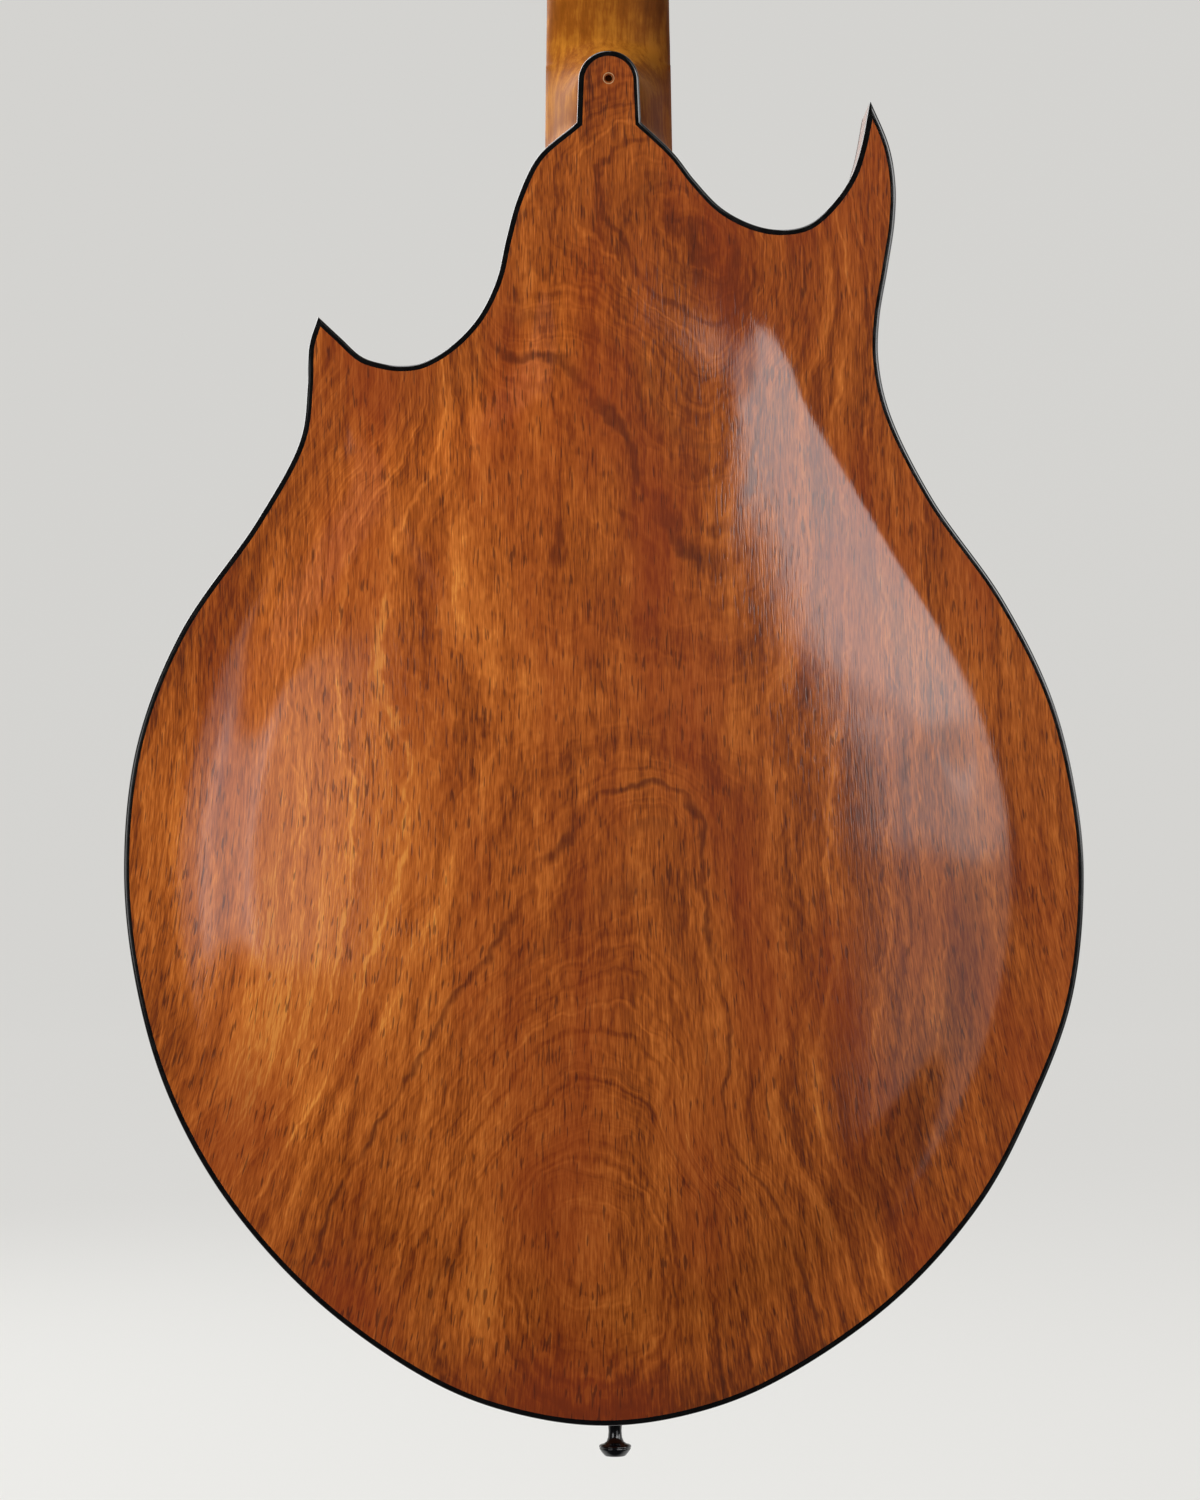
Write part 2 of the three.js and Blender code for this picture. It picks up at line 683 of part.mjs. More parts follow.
// Truss rod channel under the fretboard, and its pocket in the head
const channel_half_width = 3.3;
const channel_depth = 9;
const channel_end_share = 0.93;
const pocket_half_width = 5;
const pocket_length = 20;
const rod_radius = 2.5;
const rod_y = -channel_depth + glue_gap + rod_radius;

const channel = block(
  [-channel_half_width, -channel_depth, -channel_end_share * joint_reach],
  [channel_half_width, overrun, nut_thickness + overrun]).transform(neck_matrix.elements);
const pocket = block(
  [-pocket_half_width, -channel_depth, 0],
  [pocket_half_width, overrun, pocket_length]).transform(head_matrix.elements);

const neck_limit = block(
  [-beside, back_glue_y - body_length, joint_z], [beside, body_length, body_length]);
const head_slab = slabY(headOutline(0), -head_thickness, 0)
  .subtract(postHoles(post_hole_radius, -head_thickness - overrun, overrun))
  .transform(head_matrix.elements);
const heel_rings = [];
for (let slice = 0; slice < heel_slices; slice += 1) {
  heel_rings.push(heelSlice(slice / (heel_slices - 1)));
}
const pilot_depth = 12;
const neck = loft(neck_ring_shares.map(neckRing)).intersect(neck_limit)
  .add(loft(heel_rings))
  .add(tenon(0, back_glue_y, top_glue_y))
  .add(head_slab)
  .subtract(channel)
  .subtract(pocket)
  .subtract(screwHole(back_glue_y - overrun, back_glue_y + pilot_depth));
addPiece(mandola, 'neck', neck, 'maple');

// Head veneer, with its slot over the truss rod pocket
const slot = block(
  [-pocket_half_width, -overrun, -overrun],
  [pocket_half_width, overrun + veneer_thickness, pocket_length]);
const head_veneer = slabY(headOutline(veneer_start), glue_gap, veneer_thickness)
  .subtract(postHoles(post_hole_radius, -overrun, veneer_thickness + overrun))
  .subtract(slot);
addPiece(head_group, 'head_veneer', head_veneer, 'ebony');

const cover_half_width = 9;
const cover_length = 32;
const cover_start = 1.5;
const cover_thickness = 1.6;
const cover_shares = [
  [1, 0], [1, 0.12], [0.72, 0.35], [0.55, 0.6], [0.6, 0.78], [0.4, 0.93], [0, 1],
];
const cover_edge = new THREE.SplineCurve(cover_shares.map(([across, along]) => (
  new THREE.Vector2(across * cover_half_width, cover_start + along * cover_length))))
  .getPoints(round_sides).map((point) => [point.x, point.y]);
const cover_outline = [...cover_edge, ...cover_edge.slice(0, -1).reverse().map(([x, z]) => [-x, z])];
const cover_low = veneer_thickness + glue_gap;
const cover = slabY(cover_outline, cover_low, cover_low + cover_thickness);
addPiece(head_group, 'truss_rod_cover', cover, 'ebony');

const rod_past_nut = 5.5;
const rod_end = nut_thickness + rod_past_nut;
const rod_nut_radius = 3.4;
const rod_nut_length = 6;
const rod_start = -channel_end_share * joint_reach + glue_gap;
addPiece(neck_group, 'truss_rod', barZ(rod_radius, rod_start, rod_end, 0, rod_y, small_sides), 'steel');
const rod_nut = addPiece(neck_group, 'truss_rod_nut',
  barZ(rod_nut_radius, rod_end + glue_gap, rod_end + glue_gap + rod_nut_length, 0, 0, hex_sides),
  'brass');
rod_nut.position.y = rod_y;

// Fretboard with its frets
const fret_half_width = 1.1;
const fret_crown_half_width = 0.5;
const board_past_last_fret = 6;
const board_low = glue_gap;
const board_high = board_low + board_thickness;

function fretPlace(fret) {
  return -scale_length * (1 - 2 ** (-fret / 12));
}

const board_end = fretPlace(fret_count) - board_past_last_fret;
const board_profile = [[0, board_low], [0, board_high]];
for (let fret = 1; fret <= fret_count; fret += 1) {
  const place = fretPlace(fret);
  board_profile.push([place + fret_half_width, board_high]);
  board_profile.push([place + fret_crown_half_width, fret_top]);
  board_profile.push([place - fret_crown_half_width, fret_top]);
  board_profile.push([place - fret_half_width, board_high]);
}
board_profile.push([board_end, board_high], [board_end, board_low]);
const board_end_half = neckHalfWidth(-board_end / joint_reach);
const board_outline = [
  [nut_width / 2, 0], [board_end_half, board_end], [-board_end_half, board_end], [-nut_width / 2, 0],
];
const fretboard = slabX(board_profile, -joint_width, joint_width)
  .intersect(slabY(board_outline, board_low - overrun, fret_top + overrun));
addPiece(neck_group, 'fretboard', fretboard, 'ebony');

// Strings: places across at the nut and the saddle, numbered from the bass side
const nut_course_gap = 7.3;
const nut_pair_gap = 2.6;
const saddle_course_gap = 11.5;
const saddle_pair_gap = 3;
const nut_action = 0.45;
const nut_seat = 0.3;
const saddle_seat = 0.5;
const nut_wall = 1.4;
const wound_courses = 2;

function stringPlace(course, second, course_gap, pair_gap) {
  const course_middle = (course_count - 1) / 2 - course;
  const pair_side = second ? -1 : 1;
  return course_middle * course_gap + pair_side * pair_gap / 2;
}

const string_list = [];
for (let course = 0; course < course_count; course += 1) {
  for (const second of [false, true]) {
    string_list.push({
      name: `string_${string_letters[course]}_${second ? 2 : 1}`,
      wound: course < wound_courses,
      radius: string_thickness_shares[course] * thickest_string / 2,
      nut_x: stringPlace(course, second, nut_course_gap, nut_pair_gap),
      saddle_x: stringPlace(course, second, saddle_course_gap, saddle_pair_gap),
    });
  }
}

// A straight top edge with a slot under each string, drawn from +X to -X
function slottedEdge(place_key, crown, seat_y, slack) {
  const points = [];
  for (const string of string_list) {
    const half_slot = string.radius + slack;
    points.push([string[place_key] + half_slot, crown]);
    points.push([string[place_key] + half_slot, seat_y]);
    points.push([string[place_key] - half_slot, seat_y]);
    points.push([string[place_key] - half_slot, crown]);
  }
  return points;
}

const string_bottom_at_nut = fret_top + nut_action;
const nut_profile = [
  [nut_width / 2, glue_gap],
  [nut_width / 2, string_bottom_at_nut],
  ...slottedEdge('nut_x', string_bottom_at_nut + nut_wall, string_bottom_at_nut - nut_seat, nut_seat),
  [-nut_width / 2, string_bottom_at_nut],
  [-nut_width / 2, glue_gap],
];
addPiece(neck_group, 'nut', slabZ(nut_profile, glue_gap, nut_thickness - glue_gap), 'bone');

// Bridge, square to the body under the strings
const bridge_line = new THREE.Vector3(0, saddle_rise, -scale_length)
  .applyMatrix4(neck_matrix);
const crest_y = bridge_line.y - saddle_seat;
const bridge_z = bridge_line.z;
const bridge_half_length = 54;
const base_half_width = 5.5;
const base_height = 7;
const base_end_drop = 4.5;
const base_shoulder = 36;
const base_foot_gap = 17;
const base_foot_lift = 2;
const bridge_post_across = 33;
const bridge_post_radius = 1.6;
const bridge_post_seat = 5;
const wheel_radius = 5;
const wheel_thickness = 2;
const wheel_rise = 1.8;
const wheel_under_saddle = 0.3;
const post_above_wheel = 2.2;
const saddle_travel_room = 1.6;
const saddle_half_length = 52;
const saddle_half_thickness = 3.2;
const crest_half_thickness = 1.5;
const crest_wall = 0.9;
const saddle_end_drop = 3;

const top_crown_y = top_face_y + top_arch;
const base_top_y = top_crown_y + base_height;
const base_profile = [
  [-bridge_half_length, top_face_y], [-bridge_half_length, base_top_y - base_end_drop],
  [-base_shoulder - base_end_drop, base_top_y], [base_shoulder + base_end_drop, base_top_y],
  [bridge_half_length, base_top_y - base_end_drop], [bridge_half_length, top_face_y],
];
const top_with_gap = archDome(top_glue_y, 1, plate_edge + glue_gap, top_arch, 0);
const foot_arch = block(
  [-base_foot_gap, top_face_y, bridge_z - beside],
  [base_foot_gap, top_crown_y + base_foot_lift, bridge_z + beside]);
let bridge_base = slabZ(base_profile, bridge_z - base_half_width, bridge_z + base_half_width)
  .subtract(top_with_gap)
  .subtract(foot_arch);
const post_low = base_top_y - bridge_post_seat;
const wheel_low = base_top_y + wheel_rise;
const wheel_high = wheel_low + wheel_thickness;
const saddle_low = wheel_high + wheel_under_saddle;
const post_high = wheel_high + post_above_wheel;

function bridgePostHole(low, high) {
  const radius = bridge_post_radius + run_gap;
  return barY(radius, low, high, bridge_post_across, bridge_z, small_sides)
    .add(barY(radius, low, high, -bridge_post_across, bridge_z, small_sides));
}

bridge_base = bridge_base.subtract(bridgePostHole(post_low - glue_gap, base_top_y + overrun));
addPiece(mandola, 'bridge_base', bridge_base, 'ebony');

const saddle_shoulder = saddle_half_length - 2 * saddle_end_drop;
const saddle_face = [
  [saddle_half_length, saddle_low],
  [saddle_half_length, crest_y - saddle_end_drop],
  [saddle_shoulder, crest_y],
  ...slottedEdge('saddle_x', crest_y + crest_wall, crest_y, nut_seat),
  [-saddle_shoulder, crest_y],
  [-saddle_half_length, crest_y - saddle_end_drop],
  [-saddle_half_length, saddle_low],
];
const saddle_section = [
  [bridge_z - saddle_half_thickness, saddle_low],
  [bridge_z - crest_half_thickness, crest_y + crest_wall],
  [bridge_z + crest_half_thickness, crest_y + crest_wall],
  [bridge_z + saddle_half_thickness, saddle_low],
];
const saddle = slabZ(saddle_face, bridge_z - base_half_width, bridge_z + base_half_width)
  .intersect(slabX(saddle_section, -saddle_half_length, saddle_half_length))
  .subtract(bridgePostHole(saddle_low - overrun, post_high + saddle_travel_room));
addPiece(mandola, 'bridge_saddle', saddle, 'ebony');

for (const [side_name, side] of [['bass', 1], ['treble', -1]]) {
  const x = side * bridge_post_across;
  const post = barY(bridge_post_radius, post_low, post_high, x, bridge_z, small_sides);
  addPiece(mandola, `bridge_post_${side_name}`, post, 'steel');
  const wheel = barY(wheel_radius, 0, wheel_thickness, 0, 0, fine_sides)
    .subtract(barY(bridge_post_radius + run_gap, -overrun, overrun + wheel_thickness, 0, 0, small_sides));
  const placed = addPiece(mandola, `thumbwheel_${side_name}`, wheel, 'brass');
  placed.position.set(x, wheel_low, bridge_z);
}

// Tailpiece: a bracket screwed to the tail with a hook for each string, and a cover that slides off
const tail_plate_lift = 7.8;
const tail_plate_y = top_face_y + tail_plate_lift;
const tail_plate_thickness = 1.2;
const tail_plate_half_width = 24;
const tail_plate_length = 48;
const tail_flange_half_width = 13;
const tail_flange_drop = 16;
const tail_stand_off = 0.6;
const hook_height = 3.4;
const hook_half_width = 1;
const hook_length = 1.6;
const hook_from_tail = 22;
const tail_plate_end = tail_z - tail_stand_off - tail_plate_thickness;
const tail_plate_top = tail_plate_y + tail_plate_thickness;
const hook_z = tail_z + hook_from_tail;

const tailpiece_section = [
  [tail_plate_end, tail_plate_top], [tail_z + tail_plate_length, tail_plate_top],
  [tail_z + tail_plate_length, tail_plate_y], [tail_z - tail_stand_off, tail_plate_y],
  [tail_z - tail_stand_off, top_face_y - tail_flange_drop],
  [tail_plate_end, top_face_y - tail_flange_drop],
];
const tail_mask = slabZ([
  [tail_plate_half_width, tail_plate_y], [tail_plate_half_width, tail_plate_top + overrun],
  [-tail_plate_half_width, tail_plate_top + overrun], [-tail_plate_half_width, tail_plate_y],
  [-tail_flange_half_width, tail_plate_y],
  [-tail_flange_half_width, top_face_y - tail_flange_drop - overrun],
  [tail_flange_half_width, top_face_y - tail_flange_drop - overrun],
  [tail_flange_half_width, tail_plate_y],
], far_z - overrun, tail_z + tail_plate_length + overrun);
let tailpiece_base = slabX(tailpiece_section, -tail_plate_half_width, tail_plate_half_width)
  .intersect(tail_mask);
for (const string of string_list) {
  tailpiece_base = tailpiece_base.add(block(
    [string.saddle_x - hook_half_width, tail_plate_y + tail_plate_thickness / 2, hook_z - hook_length],
    [string.saddle_x + hook_half_width, tail_plate_top + hook_height, hook_z]));
}
addPiece(mandola, 'tailpiece_base', tailpiece_base, 'nickel');

const cover_wall = 0.8;
const cover_inner_height = 10.5;
const cover_crown = 2.2;
const cover_lip = 1.6;
const tail_cover_length = 58;
const cover_steps = 8;

function coverArc(half, base_y, rise) {
  const points = [];
  for (let step = 0; step <= cover_steps; step += 1) {
    const across = half * (1 - 2 * step / cover_steps);
    points.push([across, base_y + rise * (1 - (across / half) ** 2)]);
  }
  return points;
}

const cover_inner_half = tail_plate_half_width + run_gap;
const cover_outer_half = cover_inner_half + cover_wall;
const cover_ceiling = tail_plate_top + cover_inner_height;
const cover_lip_low = tail_plate_y - run_gap - cover_wall;
const lip_half = tail_plate_half_width - cover_lip;
const cover_section = [
  [lip_half, cover_lip_low], [cover_outer_half, cover_lip_low],
  ...coverArc(cover_outer_half, cover_ceiling + cover_wall, cover_crown),
  [-cover_outer_half, cover_lip_low], [-lip_half, cover_lip_low],
  [-lip_half, tail_plate_y - run_gap], [-cover_inner_half, tail_plate_y - run_gap],
  ...coverArc(cover_inner_half, cover_ceiling, cover_crown).reverse(),
  [cover_inner_half, tail_plate_y - run_gap], [lip_half, tail_plate_y - run_gap],
];
const cover_front_z = tail_plate_end + tail_cover_length;
const tailpiece_cover = slabZ(cover_section, tail_plate_end, cover_front_z);
addPiece(mandola, 'tailpiece_cover', tailpiece_cover, 'nickel');

// End pin, turned round its own axis and pushed into the tail block
const pin_shank_radius = 3;
const pin_shank_length = 13;
const pin_collar_radius = 4.2;
const pin_collar_length = 1.2;
const pin_neck_radius = 2;
const pin_neck_length = 7.2;
const pin_head_radius = 4.8;
const pin_head_flare = 1.2;
const pin_head_length = 1.6;
const pin_bevel_length = 1.8;
const pin_end_radius = 3.1;
const pin_profile = [
  [0, -pin_shank_length], [pin_shank_radius, -pin_shank_length], [pin_shank_radius, 0],
  [pin_collar_radius, 0], [pin_collar_radius, pin_collar_length],
  [pin_neck_radius, pin_collar_length + pin_head_flare], [pin_neck_radius, pin_neck_length],
  [pin_head_radius, pin_neck_length + pin_head_flare],
  [pin_head_radius, pin_neck_length + pin_head_flare + pin_head_length],
  [pin_end_radius, pin_neck_length + pin_head_flare + pin_head_length + pin_bevel_length],
  [0, pin_neck_length + pin_head_flare + pin_head_length + pin_bevel_length],
];
const pin_turning = new THREE.LatheGeometry(
  pin_profile.map(([radius, along]) => new THREE.Vector2(radius, along)), round_sides);
pin_turning.rotateX(-Math.PI / 2);
const end_pin = addPiece(mandola, 'end_pin', solidOf(pin_turning), 'black_metal');
end_pin.position.set(0, pin_y, tail_z - glue_gap);

// Tuners: worm and gear on an open plate along each edge of the back of the head
const gear_teeth = 16;
const gear_module = 0.6;
const gear_thickness = 3;
const gear_addendum = 0.5;
const gear_dedendum = 0.9;
const gear_tip_share = 0.17;
const worm_pitch_radius = 2.6;
const worm_core_radius = 1.9;
const worm_thread_rise = 1;
const worm_thread_half = 0.5;
const worm_half_turns = 1.1;
const worm_half_length = 3.6;
const shaft_radius = 1.5;
const lug_thickness = 1.6;
const lug_half_width = 2.8;
const lug_past_shaft = 2.8;
const plate_thickness = 1.2;
const plate_half_width = 8.6;
const plate_margin = 12;
const worm_behind_plate = 4.2;
const button_past_head = 2.6;
const button_length = 13;
const button_radius = 7;
const button_flatness_share = 0.62;
const shaft_in_button_share = 0.25;
const button_shares = [[0, 0], [0.37, 0], [0.42, 0.15], [1, 0.55], [0.75, 0.88], [0, 1]];
const post_above_veneer = 17;
const pitch_radius = gear_teeth * gear_module / 2;
const worm_lead = Math.PI * gear_module;
const worm_offset = pitch_radius + worm_pitch_radius;
const plate_high = -head_thickness - glue_gap;
const plate_low = plate_high - plate_thickness;
const worm_y = plate_low - worm_behind_plate;
const lug_inner = worm_half_length + run_gap;
const lug_outer = lug_inner + lug_thickness;
const post_top = veneer_thickness + post_above_veneer;

function gearSolid() {
  const points = [];
  const tooth_angle = 2 * Math.PI / gear_teeth;
  for (let tooth = 0; tooth < gear_teeth; tooth += 1) {
    const middle = (tooth + 0.5) * tooth_angle;
    for (const [turn_share, radius] of [
      [-gear_tip_share / 2, pitch_radius + gear_addendum],
      [gear_tip_share / 2, pitch_radius + gear_addendum],
      [0.5, pitch_radius - gear_dedendum]]) {
      const angle = middle + turn_share * tooth_angle;
      points.push([radius * Math.sin(angle), radius * Math.cos(angle)]);
    }
  }
  return slabY(points, worm_y - gear_thickness / 2, worm_y + gear_thickness / 2);
}

function wormSolid() {
  const rings = [];
  const steps = Math.round(2 * worm_half_turns * small_sides);
  for (let step = 0; step <= steps; step += 1) {
    const turn = worm_half_turns * (2 * step / steps - 1);
    const angle = 2 * Math.PI * turn;
    const along = worm_lead * turn;
    const root = worm_core_radius / 2;
    const ring = [[root, -worm_thread_half], [root, worm_thread_half],
      [worm_core_radius + worm_thread_rise, 0]];
    rings.push(ring.map(([radius, shift]) => new THREE.Vector3(
      along + shift, radius * Math.sin(angle), -radius * Math.cos(angle))));
  }
  return loft(rings).add(barX(worm_core_radius, -worm_half_length, worm_half_length, 0, 0, small_sides));
}

function buttonShaft() {
  const shaft_end = head_width / 2 - post_across + button_past_head;
  const shaft_in_button = shaft_end + shaft_in_button_share * button_length;
  const profile = button_shares.map(([radius_share, along_share]) => (
    new THREE.Vector2(radius_share * button_radius, along_share * button_length)));
  const turned = new THREE.LatheGeometry(profile, small_sides);
  turned.rotateZ(-Math.PI / 2);
  turned.scale(1, button_flatness_share, 1);
  turned.translate(shaft_end, 0, 0);
  return wormSolid()
    .add(barX(shaft_radius, -lug_outer, shaft_in_button, 0, 0, small_sides))
    .add(solidOf(turned));
}

function tunerPlate(side) {
  const low_z = first_post - plate_margin;
  const high_z = first_post + (course_count - 1) * tuner_pitch + plate_margin + worm_offset / 2;
  const middle = side * post_across;
  let plate = block(
    [middle - plate_half_width, plate_low, low_z], [middle + plate_half_width, plate_high, high_z]);
  for (let index = 0; index < course_count; index += 1) {
    const [x, z] = postPlace(side, index);
    const worm_z = z + worm_offset;
    for (const edge of [-1, 1]) {
      const near = x + edge * lug_inner;
      const far = x + edge * lug_outer;
      plate = plate.add(block(
        [Math.min(near, far), worm_y - lug_past_shaft, worm_z - lug_half_width],
        [Math.max(near, far), plate_high - plate_thickness / 2, worm_z + lug_half_width]));
    }
    plate = plate
      .subtract(barX(shaft_radius + run_gap + glue_gap, x - plate_half_width - overrun,
        x + plate_half_width + overrun, worm_y, worm_z, small_sides))
      .subtract(barY(post_hole_radius, plate_low - overrun, plate_high + overrun, x, z, small_sides));
  }
  return plate;
}

const gear = gearSolid();
const worm_shaft = buttonShaft();
const post_shaft = barY(post_radius, worm_y - gear_thickness / 2, post_top, 0, 0, round_sides);
const tuner_post = gear.add(post_shaft);
for (const [side_name, side] of [['bass', 1], ['treble', -1]]) {
  addPiece(head_group, `tuner_plate_${side_name}`, tunerPlate(side), 'nickel');
  for (let index = 0; index < course_count; index += 1) {
    const [x, z] = postPlace(side, index);
    const post = addPiece(head_group, `tuner_post_${side_name}_${index + 1}`, tuner_post, 'nickel');
    post.position.set(x, 0, z);
    const button = addPiece(
      head_group, `tuner_button_${side_name}_${index + 1}`, worm_shaft, 'pearl');
    button.position.set(x, worm_y, z + worm_offset);
    button.rotation.z = side > 0 ? 0 : Math.PI;
  }
}

// Strings: hook, saddle, nut, and three turns round the post
const winding_turns = 3;
const winding_low = 6;
const winding_gap = 0.5;

// A bent round bar through a list of points
function tube(points, radius) {
  const rings = [];
  let side = new THREE.Vector3(1, 0, 0);
  points.forEach((point, index) => {
    const before = points[Math.max(index - 1, 0)];
    const after = points[Math.min(index + 1, points.length - 1)];
    const arriving = new THREE.Vector3().subVectors(point, before).normalize();
    const leaving = new THREE.Vector3().subVectors(after, point).normalize();
    const heading = new THREE.Vector3().addVectors(arriving, leaving).normalize();
    side = side.clone().addScaledVector(heading, -side.dot(heading)).normalize();
    const up = new THREE.Vector3().crossVectors(heading, side);
    const ring = [];
    for (let step = 0; step < string_sides; step += 1) {
      const angle = 2 * Math.PI * step / string_sides;
      ring.push(point.clone()
        .addScaledVector(side, radius * Math.cos(angle))
        .addScaledVector(up, radius * Math.sin(angle)));
    }
    rings.push(ring);
  });
  return solidOf(loftGeometry(rings));
}

function windingPoints(side, index, radius) {
  const [post_x, post_z] = postPlace(side, index);
  const reach = post_radius + radius + run_gap;
  const rise = 2 * radius + winding_gap;
  const steps = winding_turns * small_sides;
  const points = [];
  for (let step = 0; step <= steps; step += 1) {
    const turn = step / small_sides;
    const angle = 2 * Math.PI * turn;
    points.push(new THREE.Vector3(
      post_x - side * reach * Math.cos(angle),
      winding_low + rise * turn,
      post_z + reach * Math.sin(angle)));
  }
  return points;
}

let least_gap = Infinity;
string_list.forEach((string, number) => {
  const side = string.nut_x > 0 ? 1 : -1;
  const index = side > 0 ? number : string_list.length - 1 - number;
  const winding = windingPoints(side, index, string.radius);
  for (let step = 0; step + small_sides < winding.length; step += 1) {
    for (let later = step + small_sides / 2; later < winding.length; later += 1) {
      const apart = winding[step].distanceTo(winding[later]) - 2 * string.radius;
      least_gap = Math.min(least_gap, apart);
    }
  }
  const over_nut = string_bottom_at_nut + string.radius;
  const nut_front = new THREE.Vector3(string.nut_x, over_nut, 0).applyMatrix4(neck_matrix);
  const nut_back = new THREE.Vector3(string.nut_x, over_nut, nut_thickness)
    .applyMatrix4(neck_matrix);
  const over_saddle = new THREE.Vector3(
    string.saddle_x, bridge_line.y + string.radius, bridge_z);
  const at_hook = new THREE.Vector3(
    string.saddle_x, tail_plate_top + hook_height / 2 + string.radius, hook_z + glue_gap);
  const route = [at_hook, over_saddle, nut_front, nut_back,
    ...winding.map((point) => point.applyMatrix4(head_matrix))];
  const finish = string.wound ? 'bronze' : 'steel';
  addPiece(mandola, string.name, tube(route, string.radius), finish);
});
console.log(`least gap of a winding to itself: ${least_gap.toFixed(2)} mm`);

export default mandola;
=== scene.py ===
# Looks of a carved mandola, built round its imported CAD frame. Metres; sizes are written in mm.
import json
import math

import bmesh
import bpy
import numpy as np
from mathutils import Matrix, Vector, kdtree
from mathutils.geometry import intersect_line_line_2d


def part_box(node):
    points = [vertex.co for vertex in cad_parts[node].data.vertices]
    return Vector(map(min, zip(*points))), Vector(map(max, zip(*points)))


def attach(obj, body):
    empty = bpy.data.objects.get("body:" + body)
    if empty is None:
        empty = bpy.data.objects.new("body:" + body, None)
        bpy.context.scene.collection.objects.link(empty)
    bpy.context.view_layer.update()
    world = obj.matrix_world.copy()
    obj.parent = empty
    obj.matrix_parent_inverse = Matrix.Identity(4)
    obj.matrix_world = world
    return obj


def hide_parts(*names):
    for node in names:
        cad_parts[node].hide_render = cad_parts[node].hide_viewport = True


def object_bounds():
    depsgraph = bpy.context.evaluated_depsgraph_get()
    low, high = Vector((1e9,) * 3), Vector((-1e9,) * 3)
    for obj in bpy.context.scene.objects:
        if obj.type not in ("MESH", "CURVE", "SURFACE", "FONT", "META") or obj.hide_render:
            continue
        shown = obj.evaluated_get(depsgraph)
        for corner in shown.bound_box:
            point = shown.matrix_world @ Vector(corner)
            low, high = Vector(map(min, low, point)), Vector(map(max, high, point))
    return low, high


MM = 0.001
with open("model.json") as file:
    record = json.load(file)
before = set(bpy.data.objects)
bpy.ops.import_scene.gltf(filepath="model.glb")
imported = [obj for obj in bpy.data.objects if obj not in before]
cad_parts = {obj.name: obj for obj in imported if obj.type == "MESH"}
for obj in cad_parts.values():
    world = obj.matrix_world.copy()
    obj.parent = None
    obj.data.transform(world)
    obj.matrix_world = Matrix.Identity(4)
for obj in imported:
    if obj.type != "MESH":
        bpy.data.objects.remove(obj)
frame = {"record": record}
cad_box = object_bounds()
BODY = "instrument"
BODY_OF = {name: body for body, names in frame["record"]["behaviour"]["bodies"].items()
           for name in names}


def object_of(name, data):
    """A new object, linked into the scene."""
    made = bpy.data.objects.new(name, data)
    bpy.context.scene.collection.objects.link(made)
    return made


# Camera: square to the back, rolled a little, and 1.5 m in front of it
VIEW_HEIGHT = 440 * MM
VIEW_DISTANCE = 1500 * MM
VIEW_CENTRE = Vector((-3.5, -30.7, -406.9)) * MM
VIEW_ROLL = math.radians(0.28)
SENSOR = 36

camera_data = bpy.data.cameras.new("camera")
camera_data.sensor_width = SENSOR
camera_data.lens = SENSOR * VIEW_DISTANCE / VIEW_HEIGHT
camera = object_of("camera", camera_data)
camera.location = VIEW_CENTRE - Vector((0, VIEW_DISTANCE, 0))
camera.rotation_euler = (math.pi / 2, VIEW_ROLL, 0)
bpy.context.scene.camera = camera

# Sizes and places shared with the CAD
BODY_WIDTH = 282
BODY_LENGTH = 382.5
HALF_WIDTH = BODY_WIDTH / 2
SCALE_LENGTH = 420
NUT_WIDTH = 31.5
JOINT_WIDTH = 38.5
RIB_HEIGHT = 40
PLATE_EDGE = 4.5
BACK_ARCH = 13
TOP_ARCH = 15
HEAD_TILT = math.radians(13)
HEAD_LENGTH = 138
HEAD_THICKNESS = 14
NUT_THICKNESS = 5
GLUE_GAP = 0.3
WELD = 0.002 * MM

JOINT_REACH = SCALE_LENGTH * (1 - 2 ** (-14 / 12))
SADDLE_REACH = SCALE_LENGTH - JOINT_REACH
SADDLE_RISE = 10.5
NECK_PITCH = (math.asin(28.4 / math.hypot(SADDLE_REACH, SADDLE_RISE))
              - math.atan2(SADDLE_RISE, SADDLE_REACH))
JOINT_Z = -JOINT_REACH * math.cos(NECK_PITCH)
JOINT_Y = JOINT_REACH * math.sin(NECK_PITCH)
SHOULDER_Z = JOINT_Z + 9.1
TAIL_Z = SHOULDER_Z - BODY_LENGTH
TOP_FACE_Y = JOINT_Y - 4
TOP_GLUE_Y = TOP_FACE_Y - PLATE_EDGE
BACK_GLUE_Y = TOP_GLUE_Y - RIB_HEIGHT
BACK_FACE_Y = BACK_GLUE_Y - PLATE_EDGE
NECK_FRAME = Matrix.Rotation(NECK_PITCH, 4, "X")
HEAD_FRAME = (NECK_FRAME @ Matrix.Translation((0, 0, NUT_THICKNESS))
              @ Matrix.Rotation(HEAD_TILT, 4, "X"))

